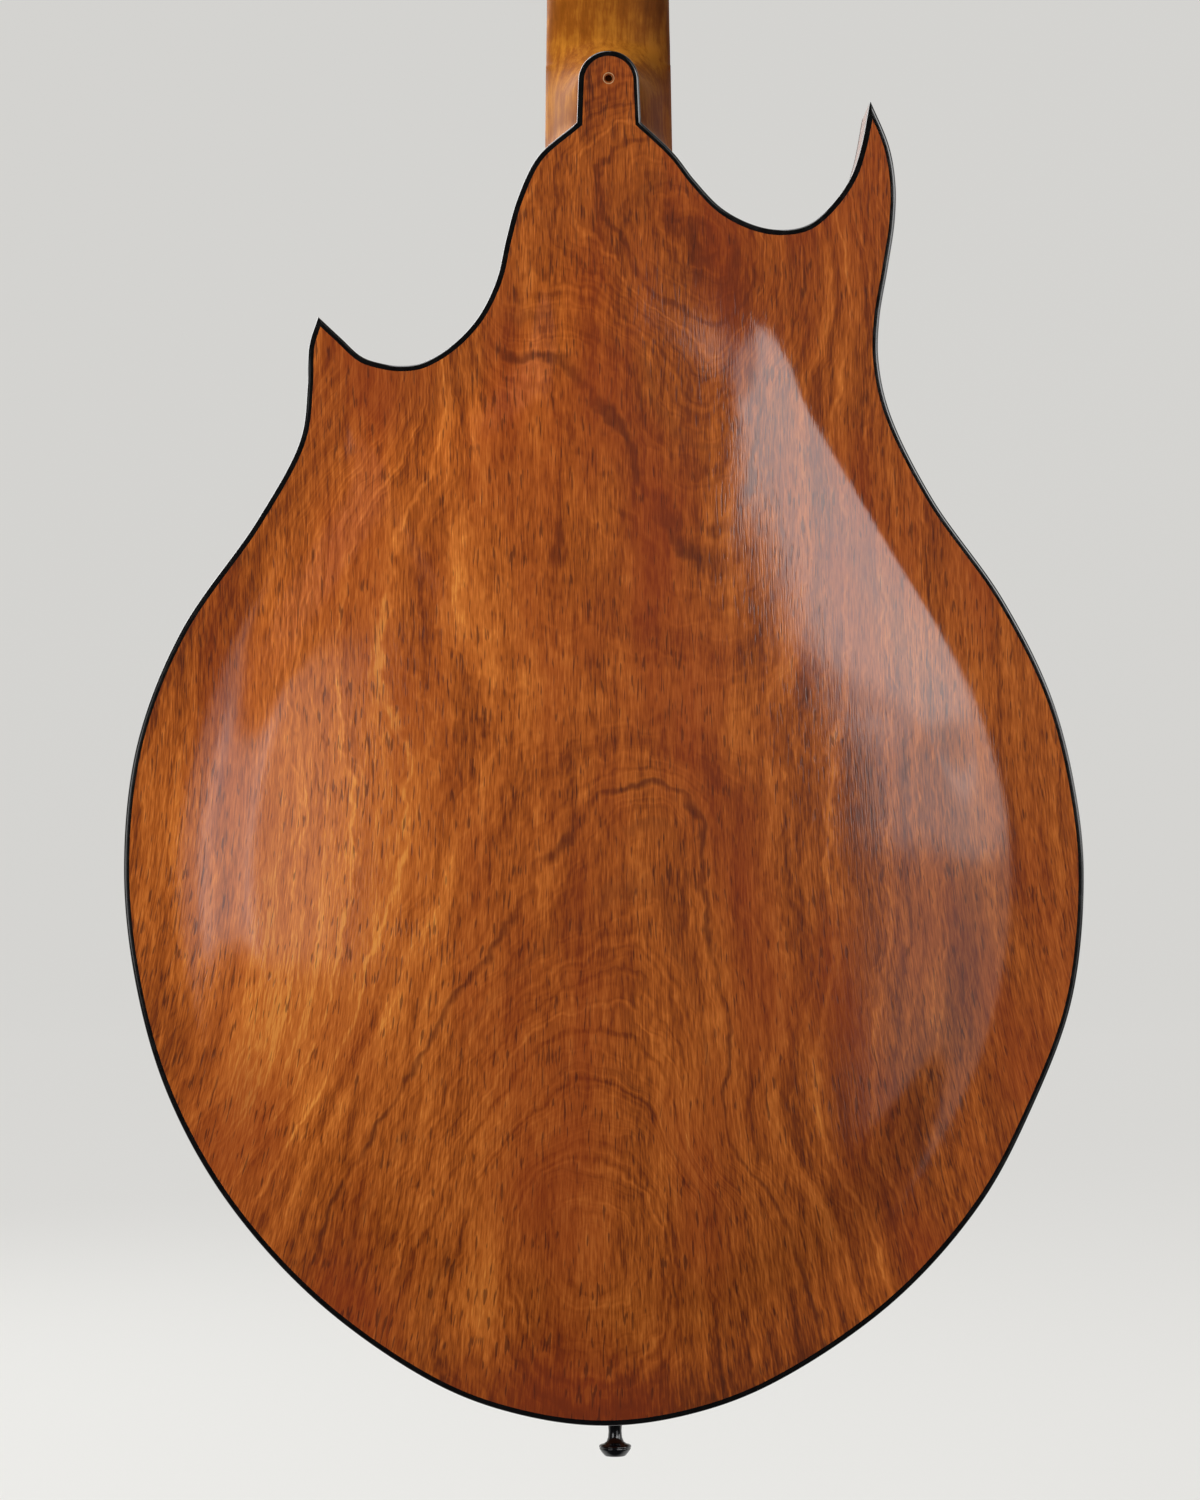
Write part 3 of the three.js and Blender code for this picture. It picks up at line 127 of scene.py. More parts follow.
# Outline of the body, as shares of half the width and of the length
BASS_BAY = [
    (0.135, 0.024), (0.179, 0.045), (0.237, 0.067), (0.307, 0.08), (0.365, 0.083),
    (0.415, 0.079), (0.463, 0.064), (0.503, 0.043), (0.524, 0.021), (0.544, -0.016)]
FLANK = [
    (0.544, -0.016), (0.583, 0.019), (0.596, 0.048), (0.594, 0.077), (0.579, 0.113),
    (0.561, 0.152), (0.559, 0.184), (0.582, 0.224), (0.67, 0.29), (0.815, 0.367), (0.916, 0.443),
    (0.967, 0.52), (0.981, 0.585), (0.954, 0.676), (0.87, 0.758), (0.761, 0.832), (0.577, 0.907),
    (0.324, 0.969), (0.151, 0.992), (-0.019, 1), (-0.19, 0.992), (-0.364, 0.969),
    (-0.609, 0.907), (-0.801, 0.829), (-0.923, 0.749), (-0.989, 0.668), (-1.017, 0.574),
    (-0.988, 0.475), (-0.896, 0.389), (-0.734, 0.303), (-0.645, 0.242), (-0.63, 0.202),
    (-0.626, 0.17), (-0.607, 0.148)]
TREBLE_BAY = [
    (-0.607, 0.148), (-0.561, 0.164), (-0.516, 0.179), (-0.476, 0.184), (-0.437, 0.186),
    (-0.393, 0.184), (-0.331, 0.171), (-0.274, 0.149), (-0.235, 0.12), (-0.215, 0.089),
    (-0.191, 0.058), (-0.148, 0.026)]
ARCH_FOOT = [
    (0.006, 0.052), (0.137, 0.077), (0.262, 0.108), (0.33, 0.125), (0.378, 0.158), (0.415, 0.2),
    (0.56, 0.301), (0.8, 0.452), (0.868, 0.585), (0.782, 0.748), (0.53, 0.889),
    (-0.019, 0.977), (-0.569, 0.889), (-0.866, 0.741), (-0.955, 0.574), (-0.839, 0.397),
    (-0.583, 0.248), (-0.552, 0.207), (-0.437, 0.212), (-0.308, 0.196), (-0.187, 0.144),
    (-0.123, 0.075)]
ARCH_CENTRE = 0.574
CROWN_ACROSS, CROWN_UP, CROWN_DOWN = 0.93, 0.5, 0.4
RECURVE = 0.22
BUTTON_CORNER = 9.4
BUTTON_WAIST = 8.9
BUTTON_TOP_Z = SHOULDER_Z + 21.1
BUTTON_SCREW_Z = BUTTON_TOP_Z - 8.2
BINDING = 1.65
SPLINE_STEPS = 24
TIP_REACH = 40
BUTTON_STEPS = 24
BUTTON_SIDE_STEPS = 8


def body_point(share):
    """A place (x, z) on the body from shares of half its width and of its length."""
    return Vector((share[0] * HALF_WIDTH, SHOULDER_Z - share[1] * BODY_LENGTH))


def smooth_line(points, spacing, closed=False):
    """Centripetal spline through the points, resampled at even spacing."""
    count = len(points)
    spans = count if closed else count - 1
    dense = []
    for span in range(spans):
        if closed:
            p0, p1, p2, p3 = (points[(span + k) % count] for k in (-1, 0, 1, 2))
        else:
            p1, p2 = points[span], points[span + 1]
            p0 = points[span - 1] if span else 2 * p1 - p2
            p3 = points[span + 2] if span + 2 < count else 2 * p2 - p1
        d1, d2, d3 = (max((b - a).length ** 0.5, 1e-4) for a, b in ((p0, p1), (p1, p2), (p2, p3)))
        m1 = ((p1 - p0) / d1 - (p2 - p0) / (d1 + d2) + (p2 - p1) / d2) * d2
        m2 = ((p2 - p1) / d2 - (p3 - p1) / (d2 + d3) + (p3 - p2) / d3) * d2
        for step in range(SPLINE_STEPS):
            t = step / SPLINE_STEPS
            dense.append(
                p1 * (2 * t ** 3 - 3 * t ** 2 + 1) + m1 * (t ** 3 - 2 * t ** 2 + t)
                + p2 * (3 * t ** 2 - 2 * t ** 3) + m2 * (t ** 3 - t ** 2))
    dense.append(points[0] if closed else points[-1])
    lengths = [0]
    for a, b in zip(dense, dense[1:]):
        lengths.append(lengths[-1] + (b - a).length)
    steps = max(2, round(lengths[-1] / spacing))
    line, at = [], 0
    for step in range(steps + (0 if closed else 1)):
        want = lengths[-1] * step / steps
        while at < len(dense) - 2 and lengths[at + 1] < want:
            at += 1
        share = (want - lengths[at]) / max(lengths[at + 1] - lengths[at], 1e-9)
        line.append(dense[at].lerp(dense[at + 1], min(share, 1)))
    return line


def inset(line, distance, tips):
    """A closed line moved inwards. Near a sharp tip the two sides meet in one mitred point.

    Returns the moved points, and for each whether it repeats a mitred point."""
    count = len(line)
    moved = []
    for i, here in enumerate(line):
        before = (here - line[i - 1]).normalized()
        after = (line[(i + 1) % count] - here).normalized()
        heading = before if i in tips else (before + after).normalized()
        stretch = 1 if i in tips else max(heading.dot(after), 0.4)
        moved.append(here + Vector((heading.y, -heading.x)) * distance / stretch)
    mitred = [False] * count
    for tip in tips:
        arrive = (line[tip] - line[tip - 1]).normalized()
        leave = (line[(tip + 1) % count] - line[tip]).normalized()
        left = [line[tip] + Vector((arrive.y, -arrive.x)) * distance]
        right = [line[tip] + Vector((leave.y, -leave.x)) * distance]
        left += [moved[tip - k] for k in range(1, TIP_REACH)]
        right += [moved[(tip + k) % count] for k in range(1, TIP_REACH)]
        crossings = (
            (i, j, intersect_line_line_2d(left[i], left[i + 1], right[j], right[j + 1]))
            for i in range(TIP_REACH - 1) for j in range(TIP_REACH - 1))
        back, on, place = next(found for found in crossings if found[2])
        for step in range(-back, on + 1):
            moved[(tip + step) % count] = place
            mitred[(tip + step) % count] = step != 0
    return moved, mitred


bass_corner = Vector((BUTTON_CORNER, SHOULDER_Z))
treble_corner = Vector((-BUTTON_CORNER, SHOULDER_Z))
SPACING = 1.5
bass_bay = smooth_line([bass_corner] + [body_point(p) for p in BASS_BAY], SPACING)
flank = smooth_line([body_point(p) for p in FLANK], SPACING)
treble_bay = smooth_line([body_point(p) for p in TREBLE_BAY] + [treble_corner], SPACING)
button = []
for step in range(BUTTON_STEPS + 1):
    angle = math.pi * (1 - step / BUTTON_STEPS)
    button.append(Vector((
        BUTTON_WAIST * math.cos(angle),
        BUTTON_TOP_Z - BUTTON_WAIST + BUTTON_WAIST * math.sin(angle))))
button_sides = [[start.lerp(end, step / BUTTON_SIDE_STEPS) for step in range(1, BUTTON_SIDE_STEPS)]
                for start, end in ((treble_corner, button[0]), (button[-1], bass_corner))]
button = button_sides[0] + button + button_sides[1]
back_line = bass_bay + flank[1:] + treble_bay[1:] + button
TIPS = (len(bass_bay) - 1, len(bass_bay) + len(flank) - 2)
body_line = bass_bay + flank[1:] + treble_bay[1:]


# Mesh helpers
def loop(bm, points):
    """A closed loop of edges."""
    verts = [bm.verts.new(Vector(p) * MM) for p in points]
    for a, b in zip(verts, verts[1:] + verts[:1]):
        bm.edges.new((a, b))
    return verts


def edges_of(verts):
    """The edges of a closed loop, in the order of its vertices."""
    return [a.link_edges[[e.other_vert(a) for e in a.link_edges].index(b)]
            for a, b in zip(verts, verts[1:] + verts[:1])]


def grow(bm, verts, points):
    """The loop extruded, and the new loop moved to its places."""
    made = bmesh.ops.extrude_edge_only(bm, edges=edges_of(verts))["geom"]
    fresh = {v for v in made if isinstance(v, bmesh.types.BMVert)}
    out = []
    for vert, place in zip(verts, points):
        new = next(e.other_vert(vert) for e in vert.link_edges if e.other_vert(vert) in fresh)
        new.co = Vector(place) * MM
        out.append(new)
    return out


def skin(bm, rings, low_cap=False, high_cap=False, joined=False):
    """Rings of equally many points, skinned in order."""
    first = loop(bm, rings[0])
    last = first
    for ring in rings[1:]:
        last = grow(bm, last, ring)
    if joined:
        bmesh.ops.bridge_loops(bm, edges=edges_of(first) + edges_of(last))
    for verts, wanted in ((first, low_cap), (last, high_cap)):
        if wanted:
            face = bmesh.ops.contextual_create(bm, geom=edges_of(verts))["faces"]
            bmesh.ops.poke(bm, faces=face)
    return first, last


def piece(bm, name, material, replaces=(), body=BODY, sharp=30):
    """The bmesh as an object that rides on a body."""
    bmesh.ops.remove_doubles(bm, verts=bm.verts, dist=WELD)
    bmesh.ops.recalc_face_normals(bm, faces=bm.faces)
    mesh = bpy.data.meshes.new(name)
    bm.to_mesh(mesh)
    bm.free()
    mesh.materials.append(material)
    mesh.shade_smooth()
    mesh.set_sharp_from_angle(angle=math.radians(sharp))
    made = object_of(name, mesh)
    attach(made, body)
    if replaces:
        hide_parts(*replaces)
    return made


def soften(made, width, angle=35):
    """Edges sharper than an angle rounded over, as sanding or moulding leaves them."""
    bevel = made.modifiers.new("rounded_edges", "BEVEL")
    bevel.width = width * MM
    bevel.segments = 3
    bevel.limit_method = "ANGLE"
    bevel.angle_limit = math.radians(angle)
    bevel.harden_normals = True


def merged(name):
    """A CAD node's own mesh with its loose triangles joined."""
    bm = bmesh.new()
    bm.from_mesh(bpy.data.objects[name].data)
    bmesh.ops.remove_doubles(bm, verts=bm.verts, dist=WELD)
    bmesh.ops.dissolve_limit(bm, angle_limit=math.radians(1), verts=bm.verts, edges=bm.edges)
    return bm


def dressed(name, material, width=0.25, sharp=35, shape=None, second=None, belongs=None):
    """A CAD node's own shape with its edges softened; the faces that belong to a second metal or
    wood get it."""
    made = piece(shape or merged(name), name + "_finished", material, replaces=[name],
                 body=BODY_OF[name], sharp=sharp)
    if second:
        made.data.materials.append(second)
        for face in made.data.polygons:
            face.material_index = int(belongs(face.center / MM))
    if width:
        soften(made, width)
    return made


def turned(profile, steps, place, closed=False):
    """A profile of (radius, along) turned round the Y axis of a place."""
    bm = bmesh.new()
    verts = [bm.verts.new((radius, along, 0)) for radius, along in profile]
    edges = [bm.edges.new(pair) for pair in zip(verts, verts[1:])]
    if closed:
        edges.append(bm.edges.new((verts[-1], verts[0])))
    bmesh.ops.spin(bm, geom=verts + edges, cent=(0, 0, 0), axis=(0, 1, 0),
                   angle=2 * math.pi, steps=steps, use_merge=True)
    bmesh.ops.remove_doubles(bm, verts=bm.verts, dist=1e-4)
    bmesh.ops.transform(bm, matrix=Matrix.Scale(MM, 4) @ place, verts=bm.verts)
    return bm


def block_of(low, high):
    """A block between two corners."""
    bm = bmesh.new()
    bmesh.ops.create_cube(bm, size=1)
    low, high = Vector(low) * MM, Vector(high) * MM
    bmesh.ops.scale(bm, vec=high - low, verts=bm.verts)
    bmesh.ops.translate(bm, vec=(low + high) / 2, verts=bm.verts)
    return bm


def rod_of(radius, sides, start, end):
    """A round bar between two places."""
    bm = bmesh.new()
    start, end = Vector(start) * MM, Vector(end) * MM
    bmesh.ops.create_cone(bm, cap_ends=True, segments=sides, radius1=radius * MM,
                          radius2=radius * MM, depth=(end - start).length)
    turn = (end - start).to_track_quat("Z", "Y").to_matrix().to_4x4()
    bmesh.ops.transform(bm, matrix=Matrix.Translation((start + end) / 2) @ turn, verts=bm.verts)
    return bm


def carved(bm, tools):
    """The shape with each tool's shape cut out of it."""
    shapes = []
    for shape in [bm] + tools:
        bmesh.ops.recalc_face_normals(shape, faces=shape.faces)
        mesh = bpy.data.meshes.new("blank")
        shape.to_mesh(mesh)
        shape.free()
        shapes.append(object_of("blank", mesh))
    for tool in shapes[1:]:
        cut = shapes[0].modifiers.new("cut", "BOOLEAN")
        cut.operation = "DIFFERENCE"
        cut.solver = "EXACT"
        cut.object = tool
    graph = bpy.context.evaluated_depsgraph_get()
    result = bmesh.new()
    result.from_mesh(shapes[0].evaluated_get(graph).to_mesh())
    for shape in shapes:
        mesh = shape.data
        bpy.data.objects.remove(shape)
        bpy.data.meshes.remove(mesh)
    return result


def mix(a, b, share):
    return a + (b - a) * share


# Materials
def colour(code):
    """An sRGB hex colour as linear values."""
    parts = [int(code[i:i + 2], 16) / 255 for i in (1, 3, 5)]
    return [c / 12.92 if c <= 0.04045 else ((c + 0.055) / 1.055) ** 2.4 for c in parts] + [1]


def node(tree, kind, sockets=None, out=0, stops=(), **settings):
    """Adds a node, with its settings, its colour stops and its links."""
    made = tree.nodes.new("ShaderNode" + kind)
    for key, value in settings.items():
        setattr(made, key, value)
    for number, (place, shade) in enumerate(stops):
        elements = made.color_ramp.elements
        mark = elements[number] if number < 2 else elements.new(place)
        mark.position = place
        mark.color = colour(shade)
    for socket, value in (sockets or {}).items():
        if isinstance(value, bpy.types.NodeSocket):
            tree.links.new(value, made.inputs[socket])
        else:
            made.inputs[socket].default_value = value
    return made.outputs[out]


def finish(name, **surface):
    """A material, its node tree and the values of its shader that are the same all over."""
    material = bpy.data.materials.new(name)
    material.use_nodes = True
    tree = material.node_tree
    shader = tree.nodes["Principled BSDF"]
    for key, value in surface.items():
        shader.inputs[key.replace("_", " ")].default_value = value
    return material, tree, shader


def in_millimetres(tree):
    """The piece's own places in mm, for patterns of a real size."""
    return node(tree, "VectorMath", {0: node(tree, "TexCoord", out=3), 3: 1000.0},
                operation="SCALE")


def wire(tree, shader, **sockets):
    """Nodes linked to the shader."""
    for key, value in sockets.items():
        tree.links.new(value, shader.inputs[key.replace("_", " ")])


# Figure of the back: growth lines (mm grown out from the pith) and points (x, z) they run through
GROWTH_LINES = [
    (0, [(-6, -553)]),
    (8, [(-6, -540), (-6, -568), (5, -553), (-17, -553)]),
    (16, [(-21, -533), (-11, -531), (-1, -533), (13, -548), (-24, -575), (12, -575), (-6, -585)]),
    (26, [(-5, -515), (10, -520), (22, -540), (-28, -528), (-38, -555), (-36, -588), (24, -588)]),
    (36, [(-8, -500), (5, -505), (15, -518), (28, -550), (-24, -508), (-44, -535), (-56, -575)]),
    (47, [(-1, -478), (10, -484), (22, -508), (34, -538), (-20, -484), (-38, -506), (-60, -545)]),
    (58, [(10, -430), (8, -442), (-4, -455), (-15, -461), (-27, -470), (17, -460), (25, -510),
          (33, -530), (-50, -498), (-74, -540), (50, -570)]),
    (66, [(-32, -292), (-19, -293), (-10, -298), (-4, -306), (5, -317), (9, -329), (11, -337),
          (21, -346), (31, -357), (36, -350), (41, -330), (45, -300)]),
    (78, [(12, -390), (30, -400), (-12, -400), (40, -450), (45, -500), (-45, -450)]),
    (56, [(-32, -277), (-20, -279), (-6, -279), (10, -292), (31, -316), (40, -300)]),
    (44, [(-11, -244), (-1, -257), (13, -275), (25, -286), (31, -290), (38, -284), (45, -268)]),
    (36, [(10, -250), (24, -268), (31, -272), (38, -262)]),
    (98, [(-72, -340), (-74, -400), (-76, -460), (75, -340), (78, -400), (80, -460), (70, -250)]),
    (130, [(-108, -390), (-110, -440), (-112, -490), (112, -400), (114, -450), (112, -490)]),
    (146, [(-130, -430), (131, -430), (-75, -290)])]

# Where the board is paler (+) or darker (-), one patch of it painted shade: place (x, z), reach
# (x, z), amount
TINTS = [
    (-108, -500, 26, 48, 0.3), (-88, -405, 30, 60, 0.5), (-40, -365, 30, 60, 0.35),
    (-60, -465, 32, 50, 0.5), (36, -238, 18, 20, -0.3), (0, -610, 110, 26, -0.9),
    (72, -420, 5, 38, -0.4), (-14, -460, 16, 8, -0.25), (15, -232, 60, 30, 0.1),
    (-124, -370, 14, 30, -0.6), (-84, -560, 30, 24, -0.2),
    (0, -212, 20, 16, -0.35), (0, -520, 40, 24, 0.25),
    (-92, -470, 18, 35, 0.5), (-71, -425, 14, 40, 0.35), (-133, -425, 10, 35, 0.4),
    (114, -382, 14, 30, 0.3), (31, -480, 14, 26, 0.45), (-42, -572, 26, 20, 0.6),
    (11, -580, 16, 14, 0.5), (-51, -536, 14, 16, 0.4), (12, -250, 12, 16, -0.4),
    (30, -272, 14, 14, -0.5), (-31, -404, 10, 20, -0.35), (-133, -492, 8, 14, -0.5),
    (-103, -496, 14, 30, 0.6), (12, -340, 14, 14, -0.3),
    # Painted shade: darker where the soft boxes' reflection lies as a pale veil near the neck
    (18, -285, 34, 34, -0.28)]


def growth_at(places):
    """Growth at each place (x, z): the thin plate that passes through the growth lines."""
    marks = np.array([p for _, line in GROWTH_LINES for p in line], float)
    levels = np.array([level for level, line in GROWTH_LINES for _ in line], float)

    def bend(a, b):
        square = ((a[:, None, :] - b[None, :, :]) ** 2).sum(2)
        return 0.5 * square * np.log(square + 1e-9)

    def plane(a):
        return np.hstack((np.ones((len(a), 1)), a))

    count = len(marks)
    system = np.zeros((count + 3, count + 3))
    system[:count, :count] = bend(marks, marks) + 30 * np.eye(count)
    system[:count, count:] = plane(marks)
    system[count:, :count] = plane(marks).T
    weights = np.linalg.solve(system, np.append(levels, np.zeros(3)))
    return bend(places, marks) @ weights[:count] + plane(places) @ weights[count:]


def tint_at(places):
    """How much paler or darker the board is at each place, a patch of painted shade included."""
    total = np.zeros(len(places))
    for x, z, reach_x, reach_z, amount in TINTS:
        total += amount * np.exp(-((places[:, 0] - x) / reach_x) ** 2
                                 - ((places[:, 1] - z) / reach_z) ** 2)
    return total


# Dark latewood lines: growth level, and how dark
VEINS = [(8, 0.3), (16, 0.4), (26, 0.35), (36, 0.6), (44, 0.45), (58, 0.65), (66, 0.9)]
GROWTH_SPAN = 160


def lacquered_tonewood():
    """Flat-sawn red-brown tonewood, its pores left open under thin lacquer buffed to a gloss:
    quiet bands along the growth lines, hair-fine fibres and short dark dashes along the grain."""
    material, tree, shader = finish(
        "lacquered_flat_sawn_tonewood", Roughness=0.5, IOR=1.5,
        Specular_IOR_Level=0.15, Coat_Weight=1.0,
        Coat_Roughness=0.1, Coat_IOR=1.5)
    millimetre = in_millimetres(tree)
    grain = node(tree, "Attribute", out=1, attribute_name="grain")
    tint = node(tree, "Attribute", out=2, attribute_name="tint")
    growth = node(tree, "SeparateXYZ", {0: grain}, out=2)
    # Growth lines wander 4 mm over 30 mm, and 1 mm over 6 mm
    wander = node(tree, "TexNoise", {"Vector": millimetre, "Scale": 0.03, "Detail": 2.0})
    ripple = node(tree, "TexNoise", {"Vector": millimetre, "Scale": 0.16, "Detail": 2.0})
    for pattern, reach in ((wander, 9.0), (ripple, 4.0)):
        growth = node(tree, "Math", {0: pattern, 1: reach, 2: growth}, operation="MULTIPLY_ADD")
    # Less half of both, which is the middle of a noise
    growth = node(tree, "Math", {0: growth, 1: 6.5}, operation="SUBTRACT")
    # Bands 6 mm and 1.5 mm of growth apart
    band, line = (
        node(tree, "TexNoise", {"W": growth, "Scale": scale, "Detail": detail},
             noise_dimensions="1D")
        for scale, detail in ((0.17, 2.0), (0.8, 1.0)))
    # Along the grain: ribbons 8 mm wide, streaks 2 mm and fibres 0.5 mm wide, patches 25 mm wide,
    # and open pores 0.7 mm wide and 3 to 9 mm long
    ribbon, streak, fibre, blush, pore = (
        node(tree, "TexNoise", {
            "Vector": node(tree, "Mapping", {0: grain, 3: (across, along, 0.0)}),
            "Scale": 1.0, "Detail": detail})
        for across, along, detail in ((0.11, 0.01, 3.0), (0.5, 0.03, 2.0), (2.4, 0.17, 2.0),
                                      (0.035, 0.011, 2.0), (1.4, 0.13, 1.0)))
    # The tint carries the board's own paler and darker patches and one patch of painted shade
    tone = -0.73
    for pattern, weight in ((tint, 0.3), (band, 0.42), (line, 0.28), (ribbon, 0.5),
                            (streak, 0.5), (fibre, 0.8)):
        tone = node(tree, "Math", {0: pattern, 1: weight, 2: tone}, operation="MULTIPLY_ADD")
    wood = node(tree, "ValToRGB", {0: tone}, stops=[
        (0.18, "#5c2403"), (0.36, "#823806"), (0.5, "#a34f0d"), (0.64, "#bf621b"),
        (0.86, "#de7d2d"), (1.0, "#f49c42")])
    # Redder heartwood in long patches, less of it where the wood is pale
    blush = node(tree, "Math", {0: tint, 1: -0.08, 2: blush}, operation="MULTIPLY_ADD")
    share = node(tree, "MapRange", {0: blush, 1: 0.43, 2: 0.66, 3: 0.0, 4: 0.5})
    wood = node(tree, "Mix", {0: share, 6: wood, 7: colour("#963608")}, out=2, data_type="RGBA")
    # Dark latewood lines that fade in over 1.6 mm and out over 0.9 mm, broken along their length
    stops = [(0.0, "#000000")]
    for level, depth in VEINS:
        grey = "#" + f"{round(255 * depth):02x}" * 3
        stops += [((level - 1.6) / GROWTH_SPAN, "#000000"), (level / GROWTH_SPAN, grey),
                  ((level + 0.9) / GROWTH_SPAN, "#000000")]
    share = node(tree, "Math", {0: growth, 1: GROWTH_SPAN}, operation="DIVIDE")
    vein = node(tree, "ValToRGB", {0: share}, stops=stops)
    broken = node(tree, "TexNoise", {"Vector": millimetre, "Scale": 0.05, "Detail": 3.0})
    broken = node(tree, "MapRange", {0: broken, 1: 0.42, 2: 0.6, 3: 0.08, 4: 0.85})
    share = node(tree, "Math", {0: vein, 1: broken}, operation="MULTIPLY")
    wood = node(tree, "Mix", {0: share, 6: wood, 7: colour("#4f1e08")}, out=2, data_type="RGBA")
    # The pores lie in loose clusters
    cluster = node(tree, "TexNoise", {"Vector": millimetre, "Scale": 0.04, "Detail": 2.0})
    edge = node(tree, "Math", {0: cluster, 1: -0.25, 2: 0.745}, operation="MULTIPLY_ADD")
    pore = node(tree, "Math", {0: pore, 1: edge}, operation="SUBTRACT")
    pore = node(tree, "MapRange", {0: pore, 1: 0.0, 2: 0.07, 3: 0.0, 4: 1.0},
                interpolation_type="SMOOTHSTEP")
    share = node(tree, "Math", {0: pore, 1: 0.62}, operation="MULTIPLY")
    wood = node(tree, "Mix", {0: share, 6: wood, 7: colour("#431706")}, out=2, data_type="RGBA")
    height = node(tree, "Math", {0: pore, 1: -0.5, 2: fibre}, operation="MULTIPLY_ADD")
    wire(tree, shader, Base_Color=wood,
         **{socket: node(tree, "Bump", {"Strength": strength, "Distance": 0.3 * MM,
                                        "Height": height})
            for socket, strength in (("Normal", 0.3), ("Coat_Normal", 0.07))})
    return material


def amber_maple():
    """Plain-sawn maple, scraped and brushed with amber lacquer: even gold with fine growth lines
    and a faint flame across them, with soft clouds of painted sheen over it."""
    material, tree, shader = finish("amber_lacquered_maple", Roughness=0.6, IOR=1.5,
                                    Specular_IOR_Level=0.06)
    millimetre = in_millimetres(tree)
    # Growth lines 2 mm apart that bend slowly, flame 12 mm apart across the neck, and fine flecks
    bend = node(tree, "TexNoise", {"Vector": millimetre, "Scale": 0.015, "Detail": 1.0}, out=1)
    bent = node(tree, "VectorMath", {0: bend, 1: (22.0, 14.0, 0.0), 2: millimetre},
                operation="MULTIPLY_ADD")
    line = node(tree, "TexNoise", {
        "Vector": node(tree, "Mapping", {0: bent, 3: (0.5, 0.3, 0.012)}),
        "Scale": 1.0, "Detail": 4.0, "Roughness": 0.6})
    flame = node(tree, "TexNoise", {
        "Vector": node(tree, "Mapping", {0: bent, 3: (0.03, 0.03, 0.09)}),
        "Scale": 1.0, "Detail": 1.0})
    fleck = node(tree, "TexNoise", {
        "Vector": node(tree, "Mapping", {0: millimetre, 3: (2.2, 2.2, 0.25)}),
        "Scale": 1.0, "Detail": 2.0})
    # Painted sheen: paler and darker clouds 15 mm wide stand in for the mottled gloss of the
    # lacquer
    cloud = node(tree, "TexNoise", {"Vector": bent, "Scale": 0.07, "Detail": 5.0,
                                    "Roughness": 0.65})
    tone = -0.1
    for pattern, weight in ((line, 0.6), (flame, 0.4), (fleck, 0.25), (cloud, 0.7)):
        tone = node(tree, "Math", {0: pattern, 1: weight, 2: tone}, operation="MULTIPLY_ADD")
    wood = node(tree, "ValToRGB", {0: tone}, stops=[
        (0.55, "#6e3806"), (0.82, "#965414"), (1.0, "#bb7622")])
    wire(tree, shader, Base_Color=wood,
         Normal=node(tree, "Bump", {"Strength": 0.1, "Distance": 0.2 * MM, "Height": fleck}))
    return material


def black_binding():
    """Black cellulose strip, scraped flush with the wood and buffed with its lacquer: a near
    mirror, faintly uneven."""
    material, tree, shader = finish("buffed_black_binding", IOR=1.5, Coat_Weight=0.7,
                                    Coat_Roughness=0.05)
    millimetre = in_millimetres(tree)
    wear = node(tree, "TexNoise", {"Vector": millimetre, "Scale": 0.4, "Detail": 3.0})
    wire(tree, shader,
         Base_Color=node(tree, "ValToRGB", {0: wear},
                         stops=[(0.3, "#050505"), (0.7, "#0e0d0d")]),
         Roughness=node(tree, "MapRange", {0: wear, 1: 0.3, 2: 0.7, 3: 0.1, 4: 0.2}))
    return material


WOOD = lacquered_tonewood()
MAPLE = amber_maple()
BLACK = black_binding()


def quarter_sawn(name, stops, lines, grain_axis="z", **surface):
    """Quarter-sawn wood, planed, sanded and finished: straight growth lines, so many a mm, and
    fine fibres along the grain's axis."""
    material, tree, shader = finish(name, IOR=1.5, **surface)
    millimetre = in_millimetres(tree)
    bend = node(tree, "TexNoise", {"Vector": millimetre, "Scale": 0.012, "Detail": 1.0}, out=1)
    bent = node(tree, "VectorMath", {0: bend, 1: (7.0, 7.0, 7.0), 2: millimetre},
                operation="MULTIPLY_ADD")
    slow, quick = lines * 0.006, lines * 2.4
    scales = {"z": ((lines, lines * 0.2, slow), (quick, quick, lines * 0.12)),
              "x": ((slow, lines, lines * 0.4), (lines * 0.12, quick, quick))}[grain_axis]
    line, fibre = (
        node(tree, "TexNoise", {"Vector": node(tree, "Mapping", {0: place, 3: scale}),
                                "Scale": 1.0, "Detail": 2.0})
        for place, scale in zip((bent, millimetre), scales))
    cloud = node(tree, "TexNoise", {"Vector": millimetre, "Scale": 0.02, "Detail": 2.0})
    tone = -0.14
    for pattern, weight in ((line, 0.75), (fibre, 0.3), (cloud, 0.22)):
        tone = node(tree, "Math", {0: pattern, 1: weight, 2: tone}, operation="MULTIPLY_ADD")
    wire(tree, shader, Base_Color=node(tree, "ValToRGB", {0: tone}, stops=stops),
         Normal=node(tree, "Bump", {"Strength": 0.12, "Distance": 0.2 * MM, "Height": fibre}))
    return material


